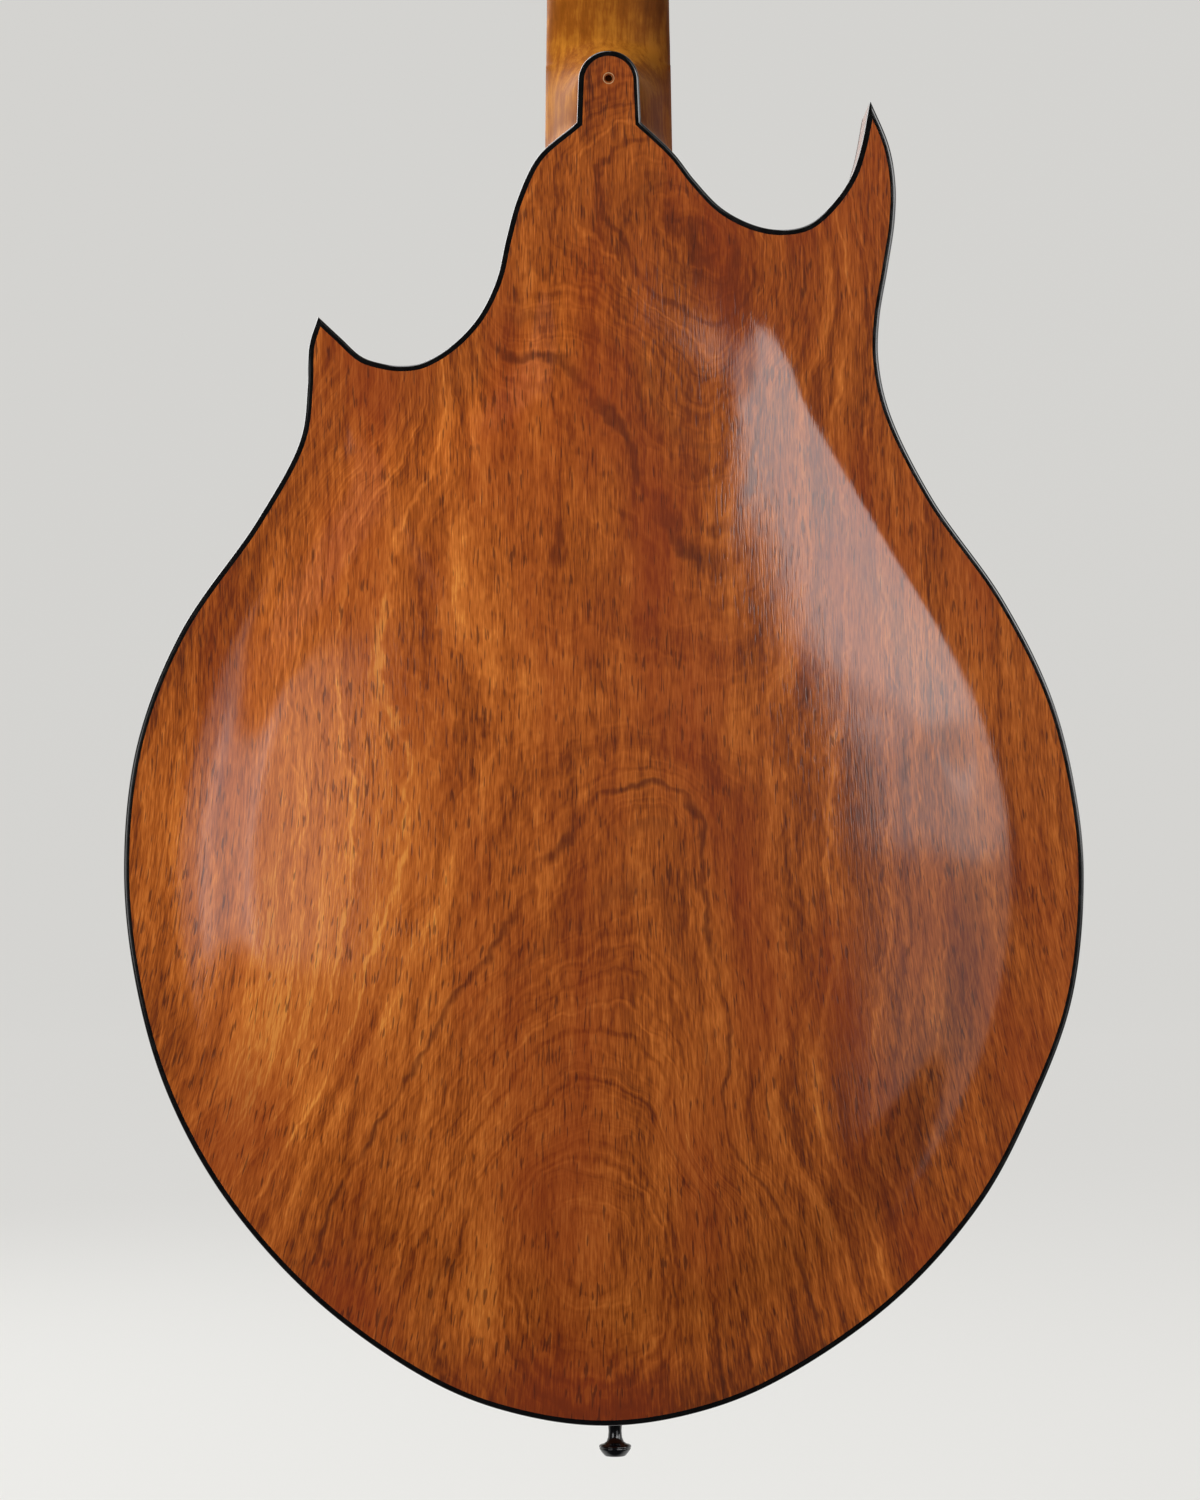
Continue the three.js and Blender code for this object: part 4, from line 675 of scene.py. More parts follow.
def plated(name, pale, dark, low, high):
    """Metal, stamped or turned and then plated or polished: bright, with fine rubbing marks and
    duller where dust and fingers have been."""
    material, tree, shader = finish(name, Metallic=1.0)
    millimetre = in_millimetres(tree)
    tarnish = node(tree, "TexNoise", {"Vector": millimetre, "Scale": 0.06, "Detail": 3.0})
    rubbed = node(tree, "TexNoise", {
        "Vector": node(tree, "Mapping", {0: millimetre, 3: (6.0, 6.0, 0.8)}), "Scale": 1.0,
        "Detail": 2.0})
    wire(tree, shader,
         Base_Color=node(tree, "ValToRGB", {0: tarnish}, stops=[(0.35, dark), (0.6, pale)]),
         Roughness=node(tree, "MapRange", {0: tarnish, 1: 0.35, 2: 0.65, 3: high, 4: low}),
         Normal=node(tree, "Bump", {"Strength": 0.02, "Distance": 0.1 * MM, "Height": rubbed}))
    return material


def polished(name, stops, scale, rough, **surface):
    """Bone, shell or black lacquer, sanded and buffed: soft clouds of colour under an even
    gloss."""
    material, tree, shader = finish(name, IOR=1.52, **surface)
    millimetre = in_millimetres(tree)
    cloud = node(tree, "TexNoise", {"Vector": millimetre, "Scale": scale, "Detail": 3.0,
                                    "Distortion": 0.6})
    speck = node(tree, "TexNoise", {"Vector": millimetre, "Scale": 2.5, "Detail": 2.0})
    wire(tree, shader, Base_Color=node(tree, "ValToRGB", {0: cloud}, stops=stops),
         Roughness=node(tree, "MapRange", {0: speck, 1: 0.35, 2: 0.65, 3: rough, 4: rough * 1.6}),
         Normal=node(tree, "Bump", {"Strength": 0.04, "Distance": 0.1 * MM, "Height": speck}))
    return material


def wound_string():
    """Bronze wire wound over a steel core and drawn tight: a row of fine ridges, drawn three times
    as coarse as real ones so that they show."""
    material, tree, shader = finish("bronze_wound_string", Metallic=1.0, Roughness=0.36)
    millimetre = in_millimetres(tree)
    ridge = node(tree, "TexWave", {"Vector": millimetre, "Scale": 0.26}, out=1,
                 bands_direction="Z")
    tarnish = node(tree, "TexNoise", {"Vector": millimetre, "Scale": 0.08, "Detail": 3.0})
    wire(tree, shader,
         Base_Color=node(tree, "ValToRGB", {0: tarnish},
                         stops=[(0.35, "#8f5f33"), (0.65, "#bd8a55")]),
         Normal=node(tree, "Bump", {"Strength": 0.6, "Distance": 0.2 * MM, "Height": ridge}))
    return material


SPRUCE = quarter_sawn("lacquered_spruce", [(0.3, "#b97f3c"), (0.5, "#d39c57"), (0.7, "#e3b373")],
                      0.85, Roughness=0.45, Specular_IOR_Level=0.2, Coat_Weight=1.0,
                      Coat_Roughness=0.12)
PLAIN_WOOD = quarter_sawn("bare_planed_spruce", [(0.3, "#b9915a"), (0.5, "#cdaa74"),
                                                  (0.7, "#dcbd8b")], 0.6, Roughness=0.75)
EBONY, EBONY_ACROSS = (
    quarter_sawn(name, [(0.3, "#120e0c"), (0.55, "#211a16"), (0.8, "#3a2c22")], 1.1, axis,
                 Roughness=0.42)
    for name, axis in (("oiled_ebony", "z"), ("oiled_ebony_across", "x")))
BONE = polished("buffed_bone", [(0.3, "#d8cba8"), (0.6, "#ece3cb")], 0.3, 0.25)
PEARL = polished("buffed_pearl_shell", [(0.3, "#c9cfc9"), (0.45, "#ece6da"), (0.55, "#e2d8d8"),
                                        (0.7, "#f2efe6")], 0.35, 0.12, Coat_Weight=0.6)
BLACK_LACQUER = polished("black_enamelled_metal", [(0.3, "#08090b"), (0.7, "#14151a")], 0.4, 0.14,
                         Coat_Weight=0.8, Coat_Roughness=0.06)
NICKEL = plated("polished_nickel_plate", "#cfccc5", "#c2bdb3", 0.12, 0.2)
STEEL = plated("drawn_steel", "#b4b8bc", "#8f9296", 0.2, 0.36)
BRASS = plated("turned_brass", "#c9a049", "#9c7831", 0.2, 0.38)
FRET_WIRE = plated("fret_wire", "#cdcac3", "#aaa79e", 0.14, 0.28)
BRONZE = wound_string()
WORN_RIM = quarter_sawn("worn_bare_wood", [(0.3, "#a87a4c"), (0.7, "#cda878")], 1.5,
                        Roughness=0.8)


# Arched plates
arch_centre = body_point((0, ARCH_CENTRE))
arch_foot = smooth_line([body_point(p) for p in ARCH_FOOT], 2.4, closed=True)
# Rings of the arch from its foot in, closer together near the foot
RING_STEPS = 44
RING_SHARES = [1 - 0.94 * (step / RING_STEPS) ** 1.15 for step in range(RING_STEPS + 1)]
HOLLOW_SHARES = RING_SHARES[4::4] + [RING_SHARES[-1]]
LONGEST_EDGE = 5 * MM


def arch_height(share):
    """The arch's height as a share of its crown's, from its foot (1) to its centre (0)."""
    t = min(max((1 - share) / RECURVE, 0), 1)
    return (1 - share ** 2) * t * t * (3 - 2 * t)


def arch_place(foot, share):
    """Where a ring of the arch crosses the spoke to a point of its foot: oval near the crown."""
    spoke = foot - arch_centre
    reach = spoke.length
    spoke = spoke.normalized()
    crown = 1 / math.hypot(
        spoke.x / (CROWN_ACROSS * HALF_WIDTH),
        spoke.y / ((CROWN_UP if spoke.y > 0 else CROWN_DOWN) * BODY_LENGTH))
    blend = share ** 2
    return arch_centre + spoke * share * (crown * (1 - blend) + reach * blend)


def plate_face(bm, rim, base_y, facing, height, shares):
    """One face of a carved plate: the arch, and the flat edge out to the rim."""
    rings = []
    for share in shares:
        rise = base_y + facing * height * arch_height(share)
        rings.append([(p.x, rise, p.y) for p in (arch_place(foot, share) for foot in arch_foot)])
    first, last = skin(bm, rings)
    hub = bmesh.ops.contextual_create(bm, geom=edges_of(last))["faces"]
    bmesh.ops.poke(bm, faces=hub)
    bmesh.ops.triangle_fill(
        bm, edges=edges_of(rim) + edges_of(first), use_beauty=True, normal=(0, facing, 0))


def plate(outline, face_y, glue_y, facing, height):
    """A carved plate inside its binding: arched outside and hollowed inside."""
    moved, repeated = inset(outline, BINDING, TIPS)
    outline = [place for place, again in zip(moved, repeated) if not again]
    bm = bmesh.new()
    rim = loop(bm, [(p.x, face_y, p.y) for p in outline])
    inner_rim = grow(bm, rim, [(p.x, glue_y, p.y) for p in outline])
    plate_face(bm, rim, face_y, facing, height, RING_SHARES)
    plate_face(bm, inner_rim, glue_y, facing, height, HOLLOW_SHARES)
    # Short edges on the flat too, so that the figure runs on smoothly
    for _ in range(3):
        long_edges = [e for e in bm.edges if e.calc_length() > LONGEST_EDGE]
        bmesh.ops.subdivide_edges(bm, edges=long_edges, cuts=1)
        bmesh.ops.triangulate(bm, faces=[f for f in bm.faces if len(f.verts) > 4])
    return bm


def write_grain(made, grain, tint):
    """Where each vertex lies in its board: across and along the grain, growth, and tint."""
    mesh = made.data
    places = mesh.attributes.new("grain", "FLOAT_VECTOR", "POINT")
    places.data.foreach_set("vector", np.asarray(grain, "f").ravel())
    shades = mesh.attributes.new("tint", "FLOAT", "POINT")
    shades.data.foreach_set("value", np.asarray(tint, "f"))


def places_of(made):
    """The piece's vertices in mm."""
    co = np.empty(len(made.data.vertices) * 3, "f")
    made.data.vertices.foreach_get("co", co)
    return co.reshape(-1, 3).astype(float) / MM


bm = plate(back_line, BACK_FACE_Y, BACK_GLUE_Y, -1, BACK_ARCH)
screw_hole = rod_of(1.1, 16, (0, BACK_FACE_Y - 2, BUTTON_SCREW_Z),
                    (0, BACK_GLUE_Y + 2, BUTTON_SCREW_Z))
bm = carved(bm, [screw_hole])
back = piece(bm, "carved_back", WOOD, replaces=["back_plate"])
co = places_of(back)
# The grain fans out below the waist
WAIST_Z = -380
fan = 1 + 9e-6 * np.maximum(WAIST_Z - co[:, 2], 0) ** 2
write_grain(back, np.column_stack((co[:, 0] / fan, co[:, 2], growth_at(co[:, (0, 2)]))),
            tint_at(co[:, (0, 2)]))

# The rim of the screw hole, worn through its lacquer
bm = turned([(1.05, 0.35), (1.2, 0.05), (1.55, -0.02), (1.7, -0.015), (1.75, 0.05), (1.3, 0.5)],
            24, Matrix.Translation((0, BACK_FACE_Y, BUTTON_SCREW_Z)), closed=True)
piece(bm, "screw_hole_rim", WORN_RIM)


def neck_pocket():
    """Where the neck stands in the top and its binding, as a solid."""
    half = JOINT_WIDTH / 2 + GLUE_GAP
    return block_of((-half, TOP_GLUE_Y - 5, JOINT_Z - GLUE_GAP), (half, 60, JOINT_Z + 60))


STEM_STEPS = 16
STEM_HALF_LENGTH = 46
STEM_OVERRUN = 3
UPPER_EYE, LOWER_EYE = 4.6, 5.8
EYE_OVERRUN = 3.2


def sound_hole(side):
    """One f-hole as a solid: a leaning stem, widest at its middle, with an eye at each end."""
    middle = Vector((side * 0.43 * HALF_WIDTH, SHOULDER_Z - 0.5 * BODY_LENGTH))
    left, right = [], []
    for step in range(2 * STEM_STEPS + 1):
        along = step / STEM_STEPS - 1
        bend = 9 * math.sin(along * math.pi / 2) ** 3 - 7 * along
        half = mix(7, 3, along ** 2) / 2
        x, z = middle.x - side * bend, middle.y + along * STEM_HALF_LENGTH
        left.append((x - half, z))
        right.append((x + half, z))
    outline = left + right[::-1]
    bm = bmesh.new()
    verts = loop(bm, [(x, TOP_GLUE_Y - STEM_OVERRUN, z) for x, z in outline])
    far = grow(bm, verts, [(x, TOP_FACE_Y + TOP_ARCH + STEM_OVERRUN, z) for x, z in outline])
    for ring in (verts, far):
        bmesh.ops.triangle_fill(bm, edges=edges_of(ring), use_beauty=True)
    low, high = TOP_GLUE_Y - EYE_OVERRUN, TOP_FACE_Y + TOP_ARCH + EYE_OVERRUN
    eyes = []
    for (x, z), shift, radius in ((left[-1], -UPPER_EYE / 2, UPPER_EYE),
                                  (left[0], LOWER_EYE / 2, LOWER_EYE)):
        x += side * shift
        eyes.append(rod_of(radius, 40, (x, low, z), (x, high, z)))
    return [bm] + eyes


bm = plate(body_line, TOP_FACE_Y, TOP_GLUE_Y, 1, TOP_ARCH)
bm = carved(bm, [neck_pocket()] + sound_hole(1) + sound_hole(-1))
piece(bm, "carved_top", SPRUCE, replaces=["top_plate"], sharp=40)

# Bindings: rounded outer edge, mitred at the points
EDGE_RADIUS = 0.7
EDGE_STEPS = 5
binding_profile = [(0, PLATE_EDGE), (0, EDGE_RADIUS)]
for step in range(1, EDGE_STEPS + 1):
    angle = math.pi / 2 * step / EDGE_STEPS
    binding_profile.append((EDGE_RADIUS * (1 - math.cos(angle)),
                            EDGE_RADIUS * (1 - math.sin(angle))))
binding_profile += [(BINDING, 0), (BINDING, PLATE_EDGE)]


def binding(outline, face_y, facing):
    """The strip round a plate's edge."""
    bm = bmesh.new()
    rings = []
    for distance, depth in binding_profile:
        line = inset(outline, distance, TIPS)[0] if distance else outline
        rings.append([(p.x, face_y - facing * depth, p.y) for p in line])
    skin(bm, rings, joined=True)
    return bm


piece(binding(back_line, BACK_FACE_Y, -1), "back_edge_binding", BLACK,
      replaces=["back_binding"], sharp=40)
piece(carved(binding(body_line, TOP_FACE_Y, 1), [neck_pocket()]), "top_edge_binding", BLACK,
      replaces=["top_binding"], sharp=40)

# Ribs: bent boards, their grain along the bend
RIB_THICKNESS = 2.2
RIB_INSET = 0.06
RIB_GLUE_LINE = 0.02
arcs = [0]
for a, b in zip(body_line, body_line[1:]):
    arcs.append(arcs[-1] + (b - a).length)
finder = kdtree.KDTree(len(body_line))
for number, point in enumerate(body_line):
    finder.insert((point.x, point.y, 0), number)
finder.balance()
outer_line = inset(body_line, RIB_INSET, TIPS)[0]
thick_line = inset(body_line, RIB_THICKNESS, TIPS)[0]
tail = min(range(len(body_line)), key=lambda number: body_line[number].y)


def rib(name, first, last, side=0):
    """One bent rib between two points of the outline. On the bass side (1) or the treble side
    (-1) it is trimmed to the CAD's own end beside the neck."""
    bm = bmesh.new()
    low_y, high_y = BACK_GLUE_Y + RIB_GLUE_LINE, TOP_GLUE_Y - RIB_GLUE_LINE
    rings = []
    for number in range(first, last + 1):
        a, b = outer_line[number], thick_line[number]
        rings.append([(a.x, low_y, a.y), (a.x, high_y, a.y), (b.x, high_y, b.y),
                      (b.x, low_y, b.y)])
    skin(bm, rings, low_cap=True, high_cap=True)
    if side:
        low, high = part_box(name)
        edge = low.x if side > 0 else high.x
        bmesh.ops.bisect_plane(bm, geom=bm.verts[:] + bm.edges[:] + bm.faces[:],
                               plane_co=(edge, 0, 0), plane_no=(-side, 0, 0), clear_outer=True)
        bmesh.ops.holes_fill(bm, edges=[e for e in bm.edges if e.is_boundary])
    made = piece(bm, name + "_bent", WOOD, replaces=[name], sharp=40)
    co = places_of(made)
    along = np.array([arcs[finder.find((x, z, 0))[1]] for x, _, z in co])
    growth = 62 + 0.9 * (co[:, 1] + 6) + 14 * np.sin(along / 70)
    write_grain(made, np.column_stack((co[:, 1], along, growth)),
                0.25 + 0.3 * np.sin(along / 90 + 1))


rib("bass_cutaway_rib", 0, TIPS[0], 1)
rib("bass_rib", TIPS[0], tail)
rib("treble_rib", tail, TIPS[1])
rib("treble_cutaway_rib", TIPS[1], len(body_line) - 1, -1)


# Neck: the shaft with its heel, worked out height by height, and the head sawn from the same wood
NECK_DEPTH_AT_NUT = 14.5
NECK_DEPTH_AT_JOINT = 17
NECK_ROUND = 0.8
HEEL_CAP_INSET = 1.2
HEEL_SWEEP = 30
HEEL_SPREAD = 0.7
HEEL_TOP_Y = JOINT_Y - 0.33 * NECK_DEPTH_AT_JOINT
CAP_TOP_Z = BUTTON_TOP_Z - HEEL_CAP_INSET
HEEL_HEIGHT = HEEL_TOP_Y - BACK_GLUE_Y
SIDE_STEPS = 22
CAP_STEPS = 6


def heel_half_width(y, z):
    """Half the heel's width at a place: slices that grow wider and higher from the cap up."""
    rise = min(max((y - BACK_GLUE_Y) / HEEL_HEIGHT, 0), 1)
    spread = rise ** HEEL_SPREAD
    waist = mix(BUTTON_WAIST - HEEL_CAP_INSET, JOINT_WIDTH / 2, spread)
    down = CAP_TOP_Z + HEEL_SWEEP * rise ** 3 - z
    if down <= 0:
        return 0
    if down < waist:
        return math.sqrt(waist ** 2 - (waist - down) ** 2)
    corner = mix(BUTTON_CORNER - HEEL_CAP_INSET, JOINT_WIDTH / 2, spread)
    if z > SHOULDER_Z:
        straight = CAP_TOP_Z + HEEL_SWEEP * rise ** 3 - waist
        return mix(waist, corner, (straight - z) / max(straight - SHOULDER_Z, 1))
    joint = mix(JOINT_WIDTH / 2 - HEEL_CAP_INSET, JOINT_WIDTH / 2, spread)
    return mix(corner, joint, (SHOULDER_Z - z) / (SHOULDER_Z - JOINT_Z))


def neck_section(z):
    """Half the neck's outline at a height, from the fretboard down to the middle of its back."""
    share = min(max(z / JOINT_Z, -0.02), 1)
    half = mix(NUT_WIDTH, JOINT_WIDTH, share) / 2
    depth = mix(NECK_DEPTH_AT_NUT, NECK_DEPTH_AT_JOINT, share) / math.cos(NECK_PITCH)
    high = -z * math.tan(NECK_PITCH) - max(z, 0) * 0.3
    above_cap = max(z - CAP_TOP_Z, 0) / HEEL_SWEEP
    low = min(high - depth, BACK_GLUE_Y + HEEL_HEIGHT * min(above_cap, 1) ** (1 / 3))
    outline = []
    for step in range(SIDE_STEPS + 1):
        turn = math.pi / 2 * step / SIDE_STEPS
        y = mix(high, low, math.sin(turn) ** NECK_ROUND)
        deep = min((high - y) / depth, 1)
        plain = half * (1 - deep ** (2 / NECK_ROUND)) ** (NECK_ROUND / 2)
        heel = heel_half_width(y, z)
        outline.append((min((plain ** 6 + heel ** 6) ** (1 / 6), half), y, z))
    x, y, z = outline[-1]
    return outline + [(x * (1 - step / CAP_STEPS), y, z) for step in range(1, CAP_STEPS + 1)]


def neck_ring(z):
    """The whole of the neck's outline at a height."""
    right = neck_section(z)
    return right + [(-x, y, z) for x, y, z in reversed(right[:-1])]


# Rings stand closer together where the shaft runs into the heel
HOLLOW_Z = CAP_TOP_Z + 14
ROUND_Z = CAP_TOP_Z - 10
heights = [9, 5, 1.5, 0]
for low, high, steps, power in ((0, HOLLOW_Z, 18, 1), (HOLLOW_Z, CAP_TOP_Z, 22, 0.75),
                                (CAP_TOP_Z, ROUND_Z, 14, 2), (ROUND_Z, JOINT_Z, 10, 1)):
    heights += [mix(low, high, (step / steps) ** power) for step in range(1, steps + 1)]
bm = bmesh.new()
skin(bm, [neck_ring(z) for z in heights], low_cap=True, high_cap=True)
bmesh.ops.remove_doubles(bm, verts=bm.verts, dist=0.01 * MM)
# The hollow where the shaft runs into the heel is sanded smooth
hollow = [v for v in bm.verts if CAP_TOP_Z + 2 < v.co.z / MM < CAP_TOP_Z + 16
          and v.co.y / MM < -v.co.z / MM * math.tan(NECK_PITCH) - 3]
for _ in range(6):
    bmesh.ops.smooth_vert(bm, verts=hollow, factor=0.5, use_axis_x=True, use_axis_y=True,
                          use_axis_z=True)
# The head is the CAD's, cut off just above the nut
source = bpy.data.objects["neck"].data
head = bmesh.new()
head.from_mesh(source)
bmesh.ops.remove_doubles(head, verts=head.verts, dist=WELD)
cut = HEAD_FRAME @ Vector((0, 0, 1.5))
cut_normal = HEAD_FRAME.to_3x3() @ Vector((0, 0, 1))
bmesh.ops.bisect_plane(head, geom=head.verts[:] + head.edges[:] + head.faces[:],
                       plane_co=cut * MM, plane_no=cut_normal, clear_inner=True)
bmesh.ops.holes_fill(head, edges=[e for e in head.edges if e.is_boundary])
head_mesh = bpy.data.meshes.new("head")
head.to_mesh(head_mesh)
head.free()
bm.from_mesh(head_mesh)
bpy.data.meshes.remove(head_mesh)
neck = piece(bm, "neck_and_head", MAPLE, replaces=["neck"], sharp=35)
soften(neck, 0.8, 50)


# Blocks, linings and bars, planed and left bare inside
for name in ("neck_block", "tail_block", "bass_point_block", "treble_point_block",
             "back_lining", "top_lining", "bass_tone_bar", "treble_tone_bar"):
    dressed(name, PLAIN_WOOD, width=0.5)

# Fretboard, nut and head
BOARD_TOP = 6.0
FRET_FOOT = BOARD_TOP + 0.03
to_board = NECK_FRAME.inverted()
bm = merged("fretboard")
bmesh.ops.bisect_plane(bm, geom=bm.verts[:] + bm.edges[:] + bm.faces[:],
                       plane_co=NECK_FRAME @ Vector((0, FRET_FOOT, 0)) * MM,
                       plane_no=NECK_FRAME.to_3x3() @ Vector((0, 1, 0)))
dressed("fretboard", EBONY, width=0.12, shape=bm, second=FRET_WIRE,
        belongs=lambda place: (to_board @ place).y > FRET_FOOT)
dressed("nut", BONE, width=0.3)
dressed("head_veneer", EBONY, width=0.35)
dressed("truss_rod", STEEL, width=0.1)
dressed("truss_rod_nut", BRASS, width=0.25)
dressed("truss_rod_cover", EBONY, width=0.5)


def fret_place(number):
    """How far down the neck a fret is."""
    return -SCALE_LENGTH * (1 - 2 ** (-number / 12))


def placed(bm, place):
    """A shape made in one frame, moved to that frame's place on the instrument."""
    bmesh.ops.transform(bm, matrix=Matrix.Scale(MM, 4) @ place @ Matrix.Scale(1 / MM, 4),
                        verts=bm.verts)
    return bm


# Dots in the board's face and in its bass edge, two of each at the octave
SIDE_DOT_Y = 3.2
for number, (fret, x) in enumerate(
        ((3, 0), (5, 0), (7, 0), (10, 0), (12, -7), (12, 7), (15, 0), (17, 0)), 1):
    z = (fret_place(fret) + fret_place(fret - 1)) / 2
    edge = mix(NUT_WIDTH, JOINT_WIDTH, z / JOINT_Z) / 2
    side_z = z + x / 3
    for name, radius, sides, start, end in (
            ("face_dot", 2.6, 36, (x, BOARD_TOP - 0.8, z), (x, FRET_FOOT, z)),
            ("side_dot", 0.9, 24, (edge - 1, SIDE_DOT_Y, side_z),
             (edge + 0.04, SIDE_DOT_Y, side_z))):
        piece(placed(rod_of(radius, sides, start, end), NECK_FRAME), f"{name}_{number}", PEARL)

# Tuner plates, in the frame of the head: 12 mm past the first and the last post
TUNER_PLATE_Y = -HEAD_THICKNESS - GLUE_GAP - 1.2
PLATE_LOW_Z = 0.203 * HEAD_LENGTH - 12
PLATE_HIGH_Z = 0.203 * HEAD_LENGTH + 3 * 0.167 * HEAD_LENGTH + 12 + 7.4 / 2

DOME_STEPS = 7
DOME_RISE = 0.42


def screw(number, radius, place, turn):
    """A small screw whose slotted, domed head stands out along the Y axis of its place."""
    dome = [(0.0, radius * DOME_RISE)]
    for step in range(1, DOME_STEPS + 1):
        angle = math.pi / 2 * step / DOME_STEPS
        dome.append((radius * math.sin(angle), radius * DOME_RISE * math.cos(angle)))
    dome += [(radius * 0.94, -0.2), (radius * 0.5, -0.2), (radius * 0.5, -2.6), (0.0, -2.9)]
    bm = turned(dome, 28, Matrix.Identity(4))
    slot_cut = block_of((-radius * 1.2, radius * 0.14, -radius * 0.12),
                        (radius * 1.2, radius, radius * 0.12))
    bm = carved(bm, [slot_cut])
    placed(bm, place @ Matrix.Rotation(turn, 4, "Y"))
    piece(bm, f"screw_{number}", NICKEL, sharp=40)


BACKWARD = Matrix.Rotation(math.pi, 4, "X")
DOWNWARD = Matrix.Rotation(-math.pi / 2, 4, "X")
POST_X = 20
# Four in each tuner plate, three in the truss rod's cover and three in the tailpiece
screws = [(1.7, HEAD_FRAME @ Matrix.Translation((side * POST_X + x, TUNER_PLATE_Y, z)) @ BACKWARD,
           z + x + side)
          for side in (1, -1) for z in (PLATE_LOW_Z + 2.6, PLATE_HIGH_Z - 2.6)
          for x in (-6.3, 6.3)]
screws += [(1.2, HEAD_FRAME @ Matrix.Translation((x, 3.9, z)), x + 0.4)
           for x, z in ((0, 29.5), (6.2, 5.5), (-6.2, 5.5))]
screws += [(2.0, Matrix.Translation((x, y, TAIL_Z - 1.8)) @ DOWNWARD, x + 0.5)
           for x, y in ((8.5, 6), (-8.5, 6), (0, 15))]
for number, (radius, place, turn) in enumerate(screws, 1):
    screw(number, radius, place, turn)

# Bushes pressed into the front of the head round the posts
LOWEST_POST_Z = 28.0
POST_STEP = 23.05
for side, x in (("bass", POST_X), ("treble", -POST_X)):
    for number in range(4):
        place = HEAD_FRAME @ Matrix.Translation((x, 2, LOWEST_POST_Z + POST_STEP * number))
        bm = turned([(3.3, -3), (3.3, 0.9), (3.6, 1.15), (4.2, 1.1), (5.0, 0.6), (5.2, 0.05),
                     (3.7, -0.05), (3.65, -3)], 40, place, closed=True)
        piece(bm, f"post_bush_{side}_{number + 1}", NICKEL, sharp=40)

# Tuners: a button's shaft and worm are plated, and its pearl starts where they end
SHAFT_END = 33.55
for side in ("bass", "treble"):
    dressed("tuner_plate_" + side, NICKEL, width=0.2)
    for number in "1234":
        dressed(f"tuner_post_{side}_{number}", NICKEL, width=0.12)
        dressed(f"tuner_button_{side}_{number}", PEARL, width=0.12, second=NICKEL,
                belongs=lambda place: abs(place.x) < SHAFT_END)

# Bridge and tailpiece
dressed("bridge_base", EBONY_ACROSS, width=0.6)
dressed("bridge_saddle", EBONY_ACROSS, width=0.3)
for side in ("bass", "treble"):
    dressed("bridge_post_" + side, STEEL, width=0.15)
    dressed("thumbwheel_" + side, BRASS, width=0.2, sharp=50)
dressed("tailpiece_base", NICKEL, width=0.2)
dressed("tailpiece_cover", NICKEL, width=0.25)

# End pin, turned: flared collar, waisted neck and a bevelled head with a beaded rim
PIN_MIDDLE = ((TOP_GLUE_Y + BACK_GLUE_Y) / 2, TAIL_Z - GLUE_GAP)
PIN_PROFILE = [(0, 12.6), (2.6, 12.6), (2.95, 12.2), (2.95, 0.35), (4.1, 0.3), (4.2, 0.05),
               (4.15, -0.4), (3.3, -0.95), (2.5, -1.5), (2.08, -2.6), (1.95, -4.4), (2.1, -6.2),
               (2.6, -7.5), (3.4, -8.1), (4.5, -8.45), (4.78, -8.75), (4.8, -9.1), (4.62, -9.3),
               (4.7, -9.55), (4.5, -9.9), (4.05, -10.6), (3.3, -11.5), (3.0, -11.75), (0, -11.8)]
bm = turned(PIN_PROFILE, 64, Matrix.Translation((0, *PIN_MIDDLE))
            @ Matrix.Rotation(math.pi / 2, 4, "X"))
piece(bm, "end_pin_turned", BLACK_LACQUER, replaces=["end_pin"], sharp=50)

# Strings: the two low courses are wound
for courses, material, slot in (("cg", BRONZE, "bronze"), ("da", STEEL, "steel")):
    for course in courses:
        for number in "12":
            dressed(f"string_{course}_{number}", material, width=0, sharp=80)


# Light: five soft boxes to the right of the camera, two to its left, and soft light from above
def lamp(name, place, aim, size, power, lean=0.0, mirrored=True, lighting=True):
    """A soft box; one that is only mirrored or only lights stands in for a flagged lamp."""
    data = bpy.data.lights.new(name, "AREA")
    data.shape = "RECTANGLE"
    data.size, data.size_y = size
    data.energy = power
    made = object_of(name, data)
    made.location = place
    aimed = (Vector(aim) - Vector(place)).to_track_quat("-Z", "Y").to_matrix()
    made.visible_glossy = mirrored
    made.visible_diffuse = lighting
    made.rotation_euler = (aimed @ Matrix.Rotation(math.radians(lean), 3, "Z")).to_euler()


def seen_from(place, across, up, distance=1.4):
    """A place in the direction that a mirror there shows: degrees right of the camera and up."""
    across, up = math.radians(across), math.radians(up)
    return Vector(place) + distance * Vector((
        math.sin(across) * math.cos(up), -math.cos(across) * math.cos(up), math.sin(up)))


RIGHT_FLANK = (0.09, -0.035, -0.41)
LEFT_FLANK = (-0.1, -0.035, -0.41)
MIDDLE = (0, 0, -0.3)
# The right flank only mirrors its boxes: degrees right and up, size in metres, watts, lean
for name, across, up, size, power, lean in (
        ("high_soft_box", 38.6, 19.5, (1.27, 0.68), 6.4, -10),
        ("middle_soft_box", 31.2, 18.6, (0.93, 0.44), 3.4, 17),
        ("waist_soft_box", 36, 3.2, (1.0, 0.21), 1.3, 0),
        ("low_soft_box", 34.5, -6.5, (0.88, 0.61), 1.25, 0),
        ("edge_soft_box", 78, 8, (0.5, 0.7), 3, 0)):
    lamp(name, seen_from(RIGHT_FLANK, across, up), RIGHT_FLANK, size, power, lean,
         lighting=False)
lamp("left_soft_box", seen_from(LEFT_FLANK, -38, 0), LEFT_FLANK, (0.62, 0.4), 1.7)
lamp("left_fill_box", seen_from(LEFT_FLANK, -23, 1), LEFT_FLANK, (0.4, 0.44), 0.6)
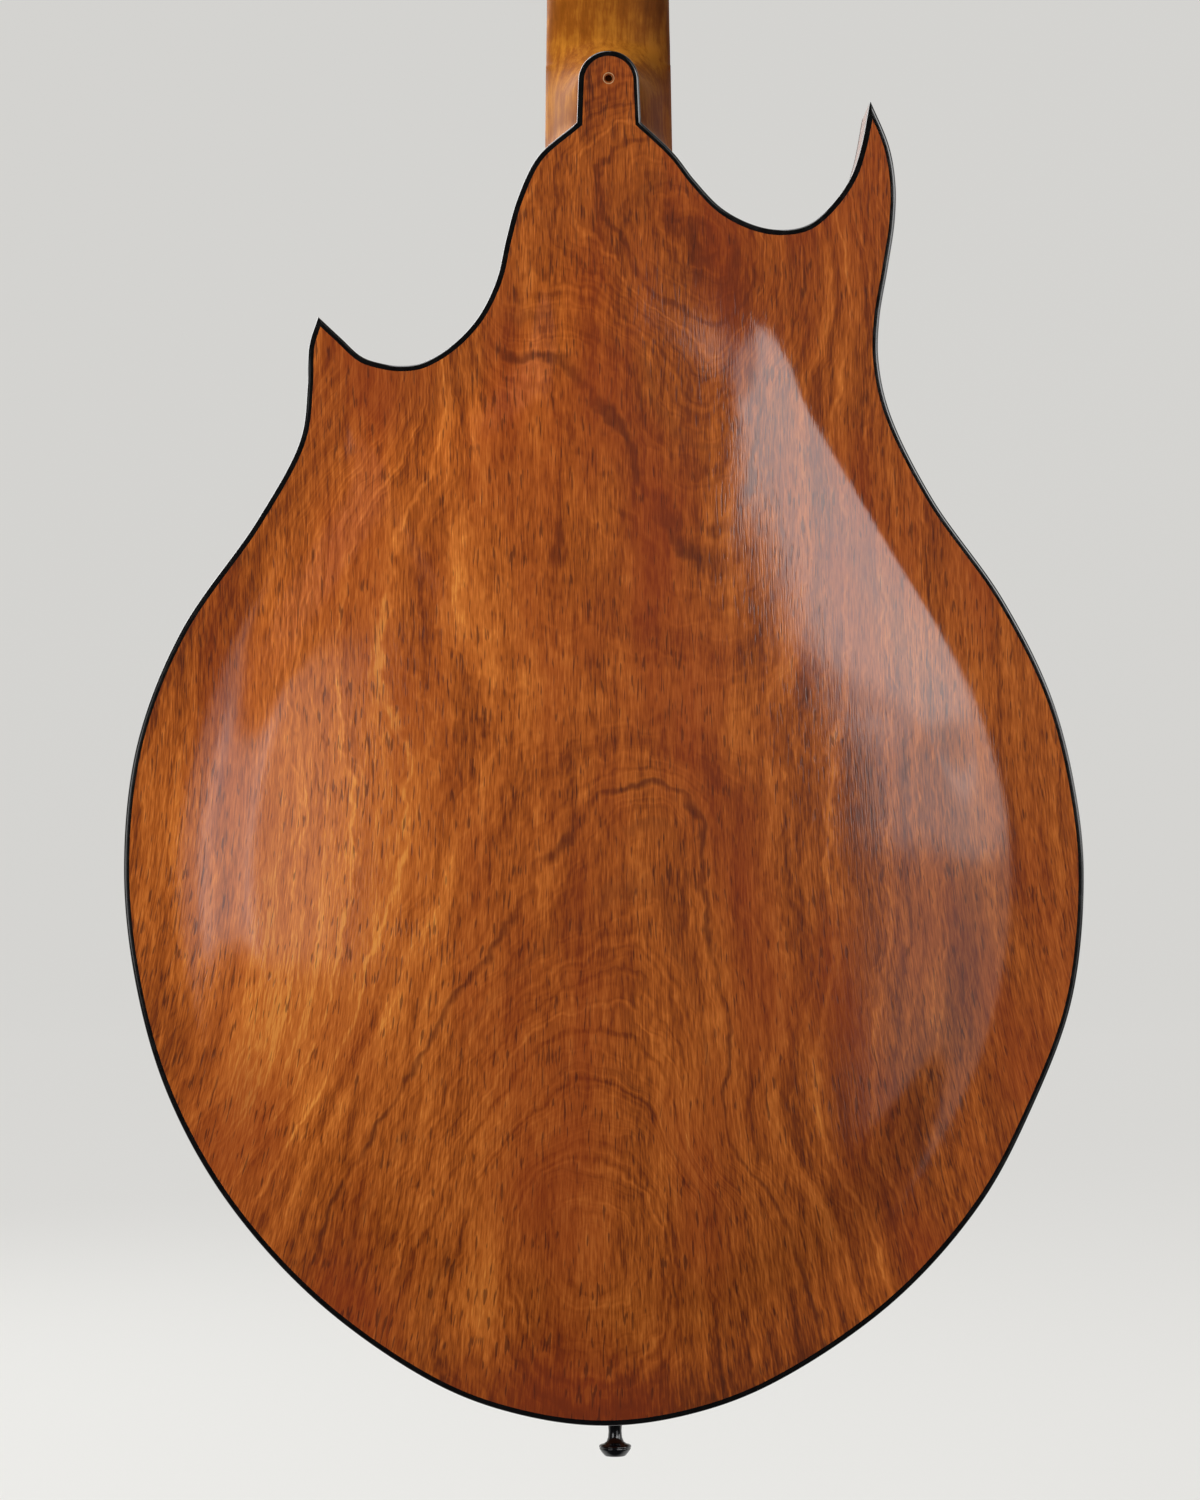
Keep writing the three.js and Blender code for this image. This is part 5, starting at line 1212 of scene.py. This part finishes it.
lamp("key_light", seen_from(MIDDLE, -42, 22, 1.8), MIDDLE, (0.8, 0.8), 20, mirrored=False)
lamp("top_light", (-0.45, 0.0, 1.25), (0, 0, -0.4), (1.2, 1.2), 15)
lamp("front_light", (-0.8, 1.2, 0.3), MIDDLE, (1.0, 1.0), 12)

world = bpy.data.worlds.new("studio")
bpy.context.scene.world = world
world.use_nodes = True
tree = world.node_tree
path = node(tree, "LightPath").node
seen = node(tree, "Math", {0: path.outputs["Is Camera Ray"],
                           1: path.outputs["Is Transmission Ray"]}, operation="MAXIMUM")
# A mirror sees the pale studio behind and beside the mandola, and the dark room before it
heading = node(tree, "SeparateXYZ", {0: node(tree, "TexCoord")}, out=1)
room = node(tree, "ValToRGB", {0: heading}, stops=[(0.0, "#303030"), (0.25, "#c4c4c2")])
# The room is darker to the right of the camera than to its left
to_right = node(tree, "SeparateXYZ", {0: node(tree, "TexCoord")})
dimming = node(tree, "MapRange", {0: to_right, 1: -1.0, 2: 1.0})
soft = node(tree, "ValToRGB", {0: dimming}, stops=[(0.0, "#949494"), (1.0, "#646464")])
ambient = node(tree, "Mix", {0: path.outputs["Is Glossy Ray"], 6: soft, 7: room}, out=2,
               data_type="RGBA")
sky = node(tree, "Mix", {0: seen, 6: ambient, 7: colour("#e0dfdc")}, out=2, data_type="RGBA")
tree.links.new(sky, tree.nodes["Background"].inputs[0])

# Floor: a round paper dish that rises to a wall all round, seen by the camera only
FLOOR_DROP = 0.1
WALL_REACH = 6.0
SWEEP = 2.0
floor_z = cad_box[0].z - FLOOR_DROP
bm = bmesh.new()
start = [bm.verts.new((reach, 0, floor_z)) for reach in (0, WALL_REACH - SWEEP)]
bm.edges.new(start)
bend = bmesh.ops.spin(
    bm, geom=[start[1]], cent=(WALL_REACH - SWEEP, 0, floor_z + SWEEP), axis=(0, -1, 0),
    angle=math.pi / 2, steps=16)["geom_last"]
high = bmesh.ops.extrude_vert_indiv(
    bm, verts=[v for v in bend if isinstance(v, bmesh.types.BMVert)])["verts"]
bmesh.ops.translate(bm, verts=high, vec=(0, 0, 4))
bmesh.ops.spin(bm, geom=bm.verts[:] + bm.edges[:], cent=(0, 0, 0), axis=(0, 0, 1),
               angle=2 * math.pi, steps=96, use_merge=True)
bmesh.ops.remove_doubles(bm, verts=bm.verts, dist=0.001)
bmesh.ops.recalc_face_normals(bm, faces=bm.faces)
bmesh.ops.reverse_faces(bm, faces=bm.faces)
dish = bpy.data.meshes.new("paper_dish")
bm.to_mesh(dish)
bm.free()
dish.shade_smooth()
material, tree, shader = finish("matt_pale_paper", Roughness=0.9)
shader.inputs["Base Color"].default_value = colour("#6f6f6d")
shader.inputs["Emission Color"].default_value = colour("#dad9d6")
seen = node(tree, "LightPath").node
wire(tree, shader, Emission_Strength=node(
    tree, "Math", {0: seen.outputs["Is Camera Ray"], 1: 0.88}, operation="MULTIPLY"))
dish.materials.append(material)
sweep = object_of("paper_dish", dish)
for ray in ("diffuse", "glossy", "transmission", "shadow"):
    setattr(sweep, "visible_" + ray, False)

bpy.context.scene.view_settings.view_transform = "Standard"
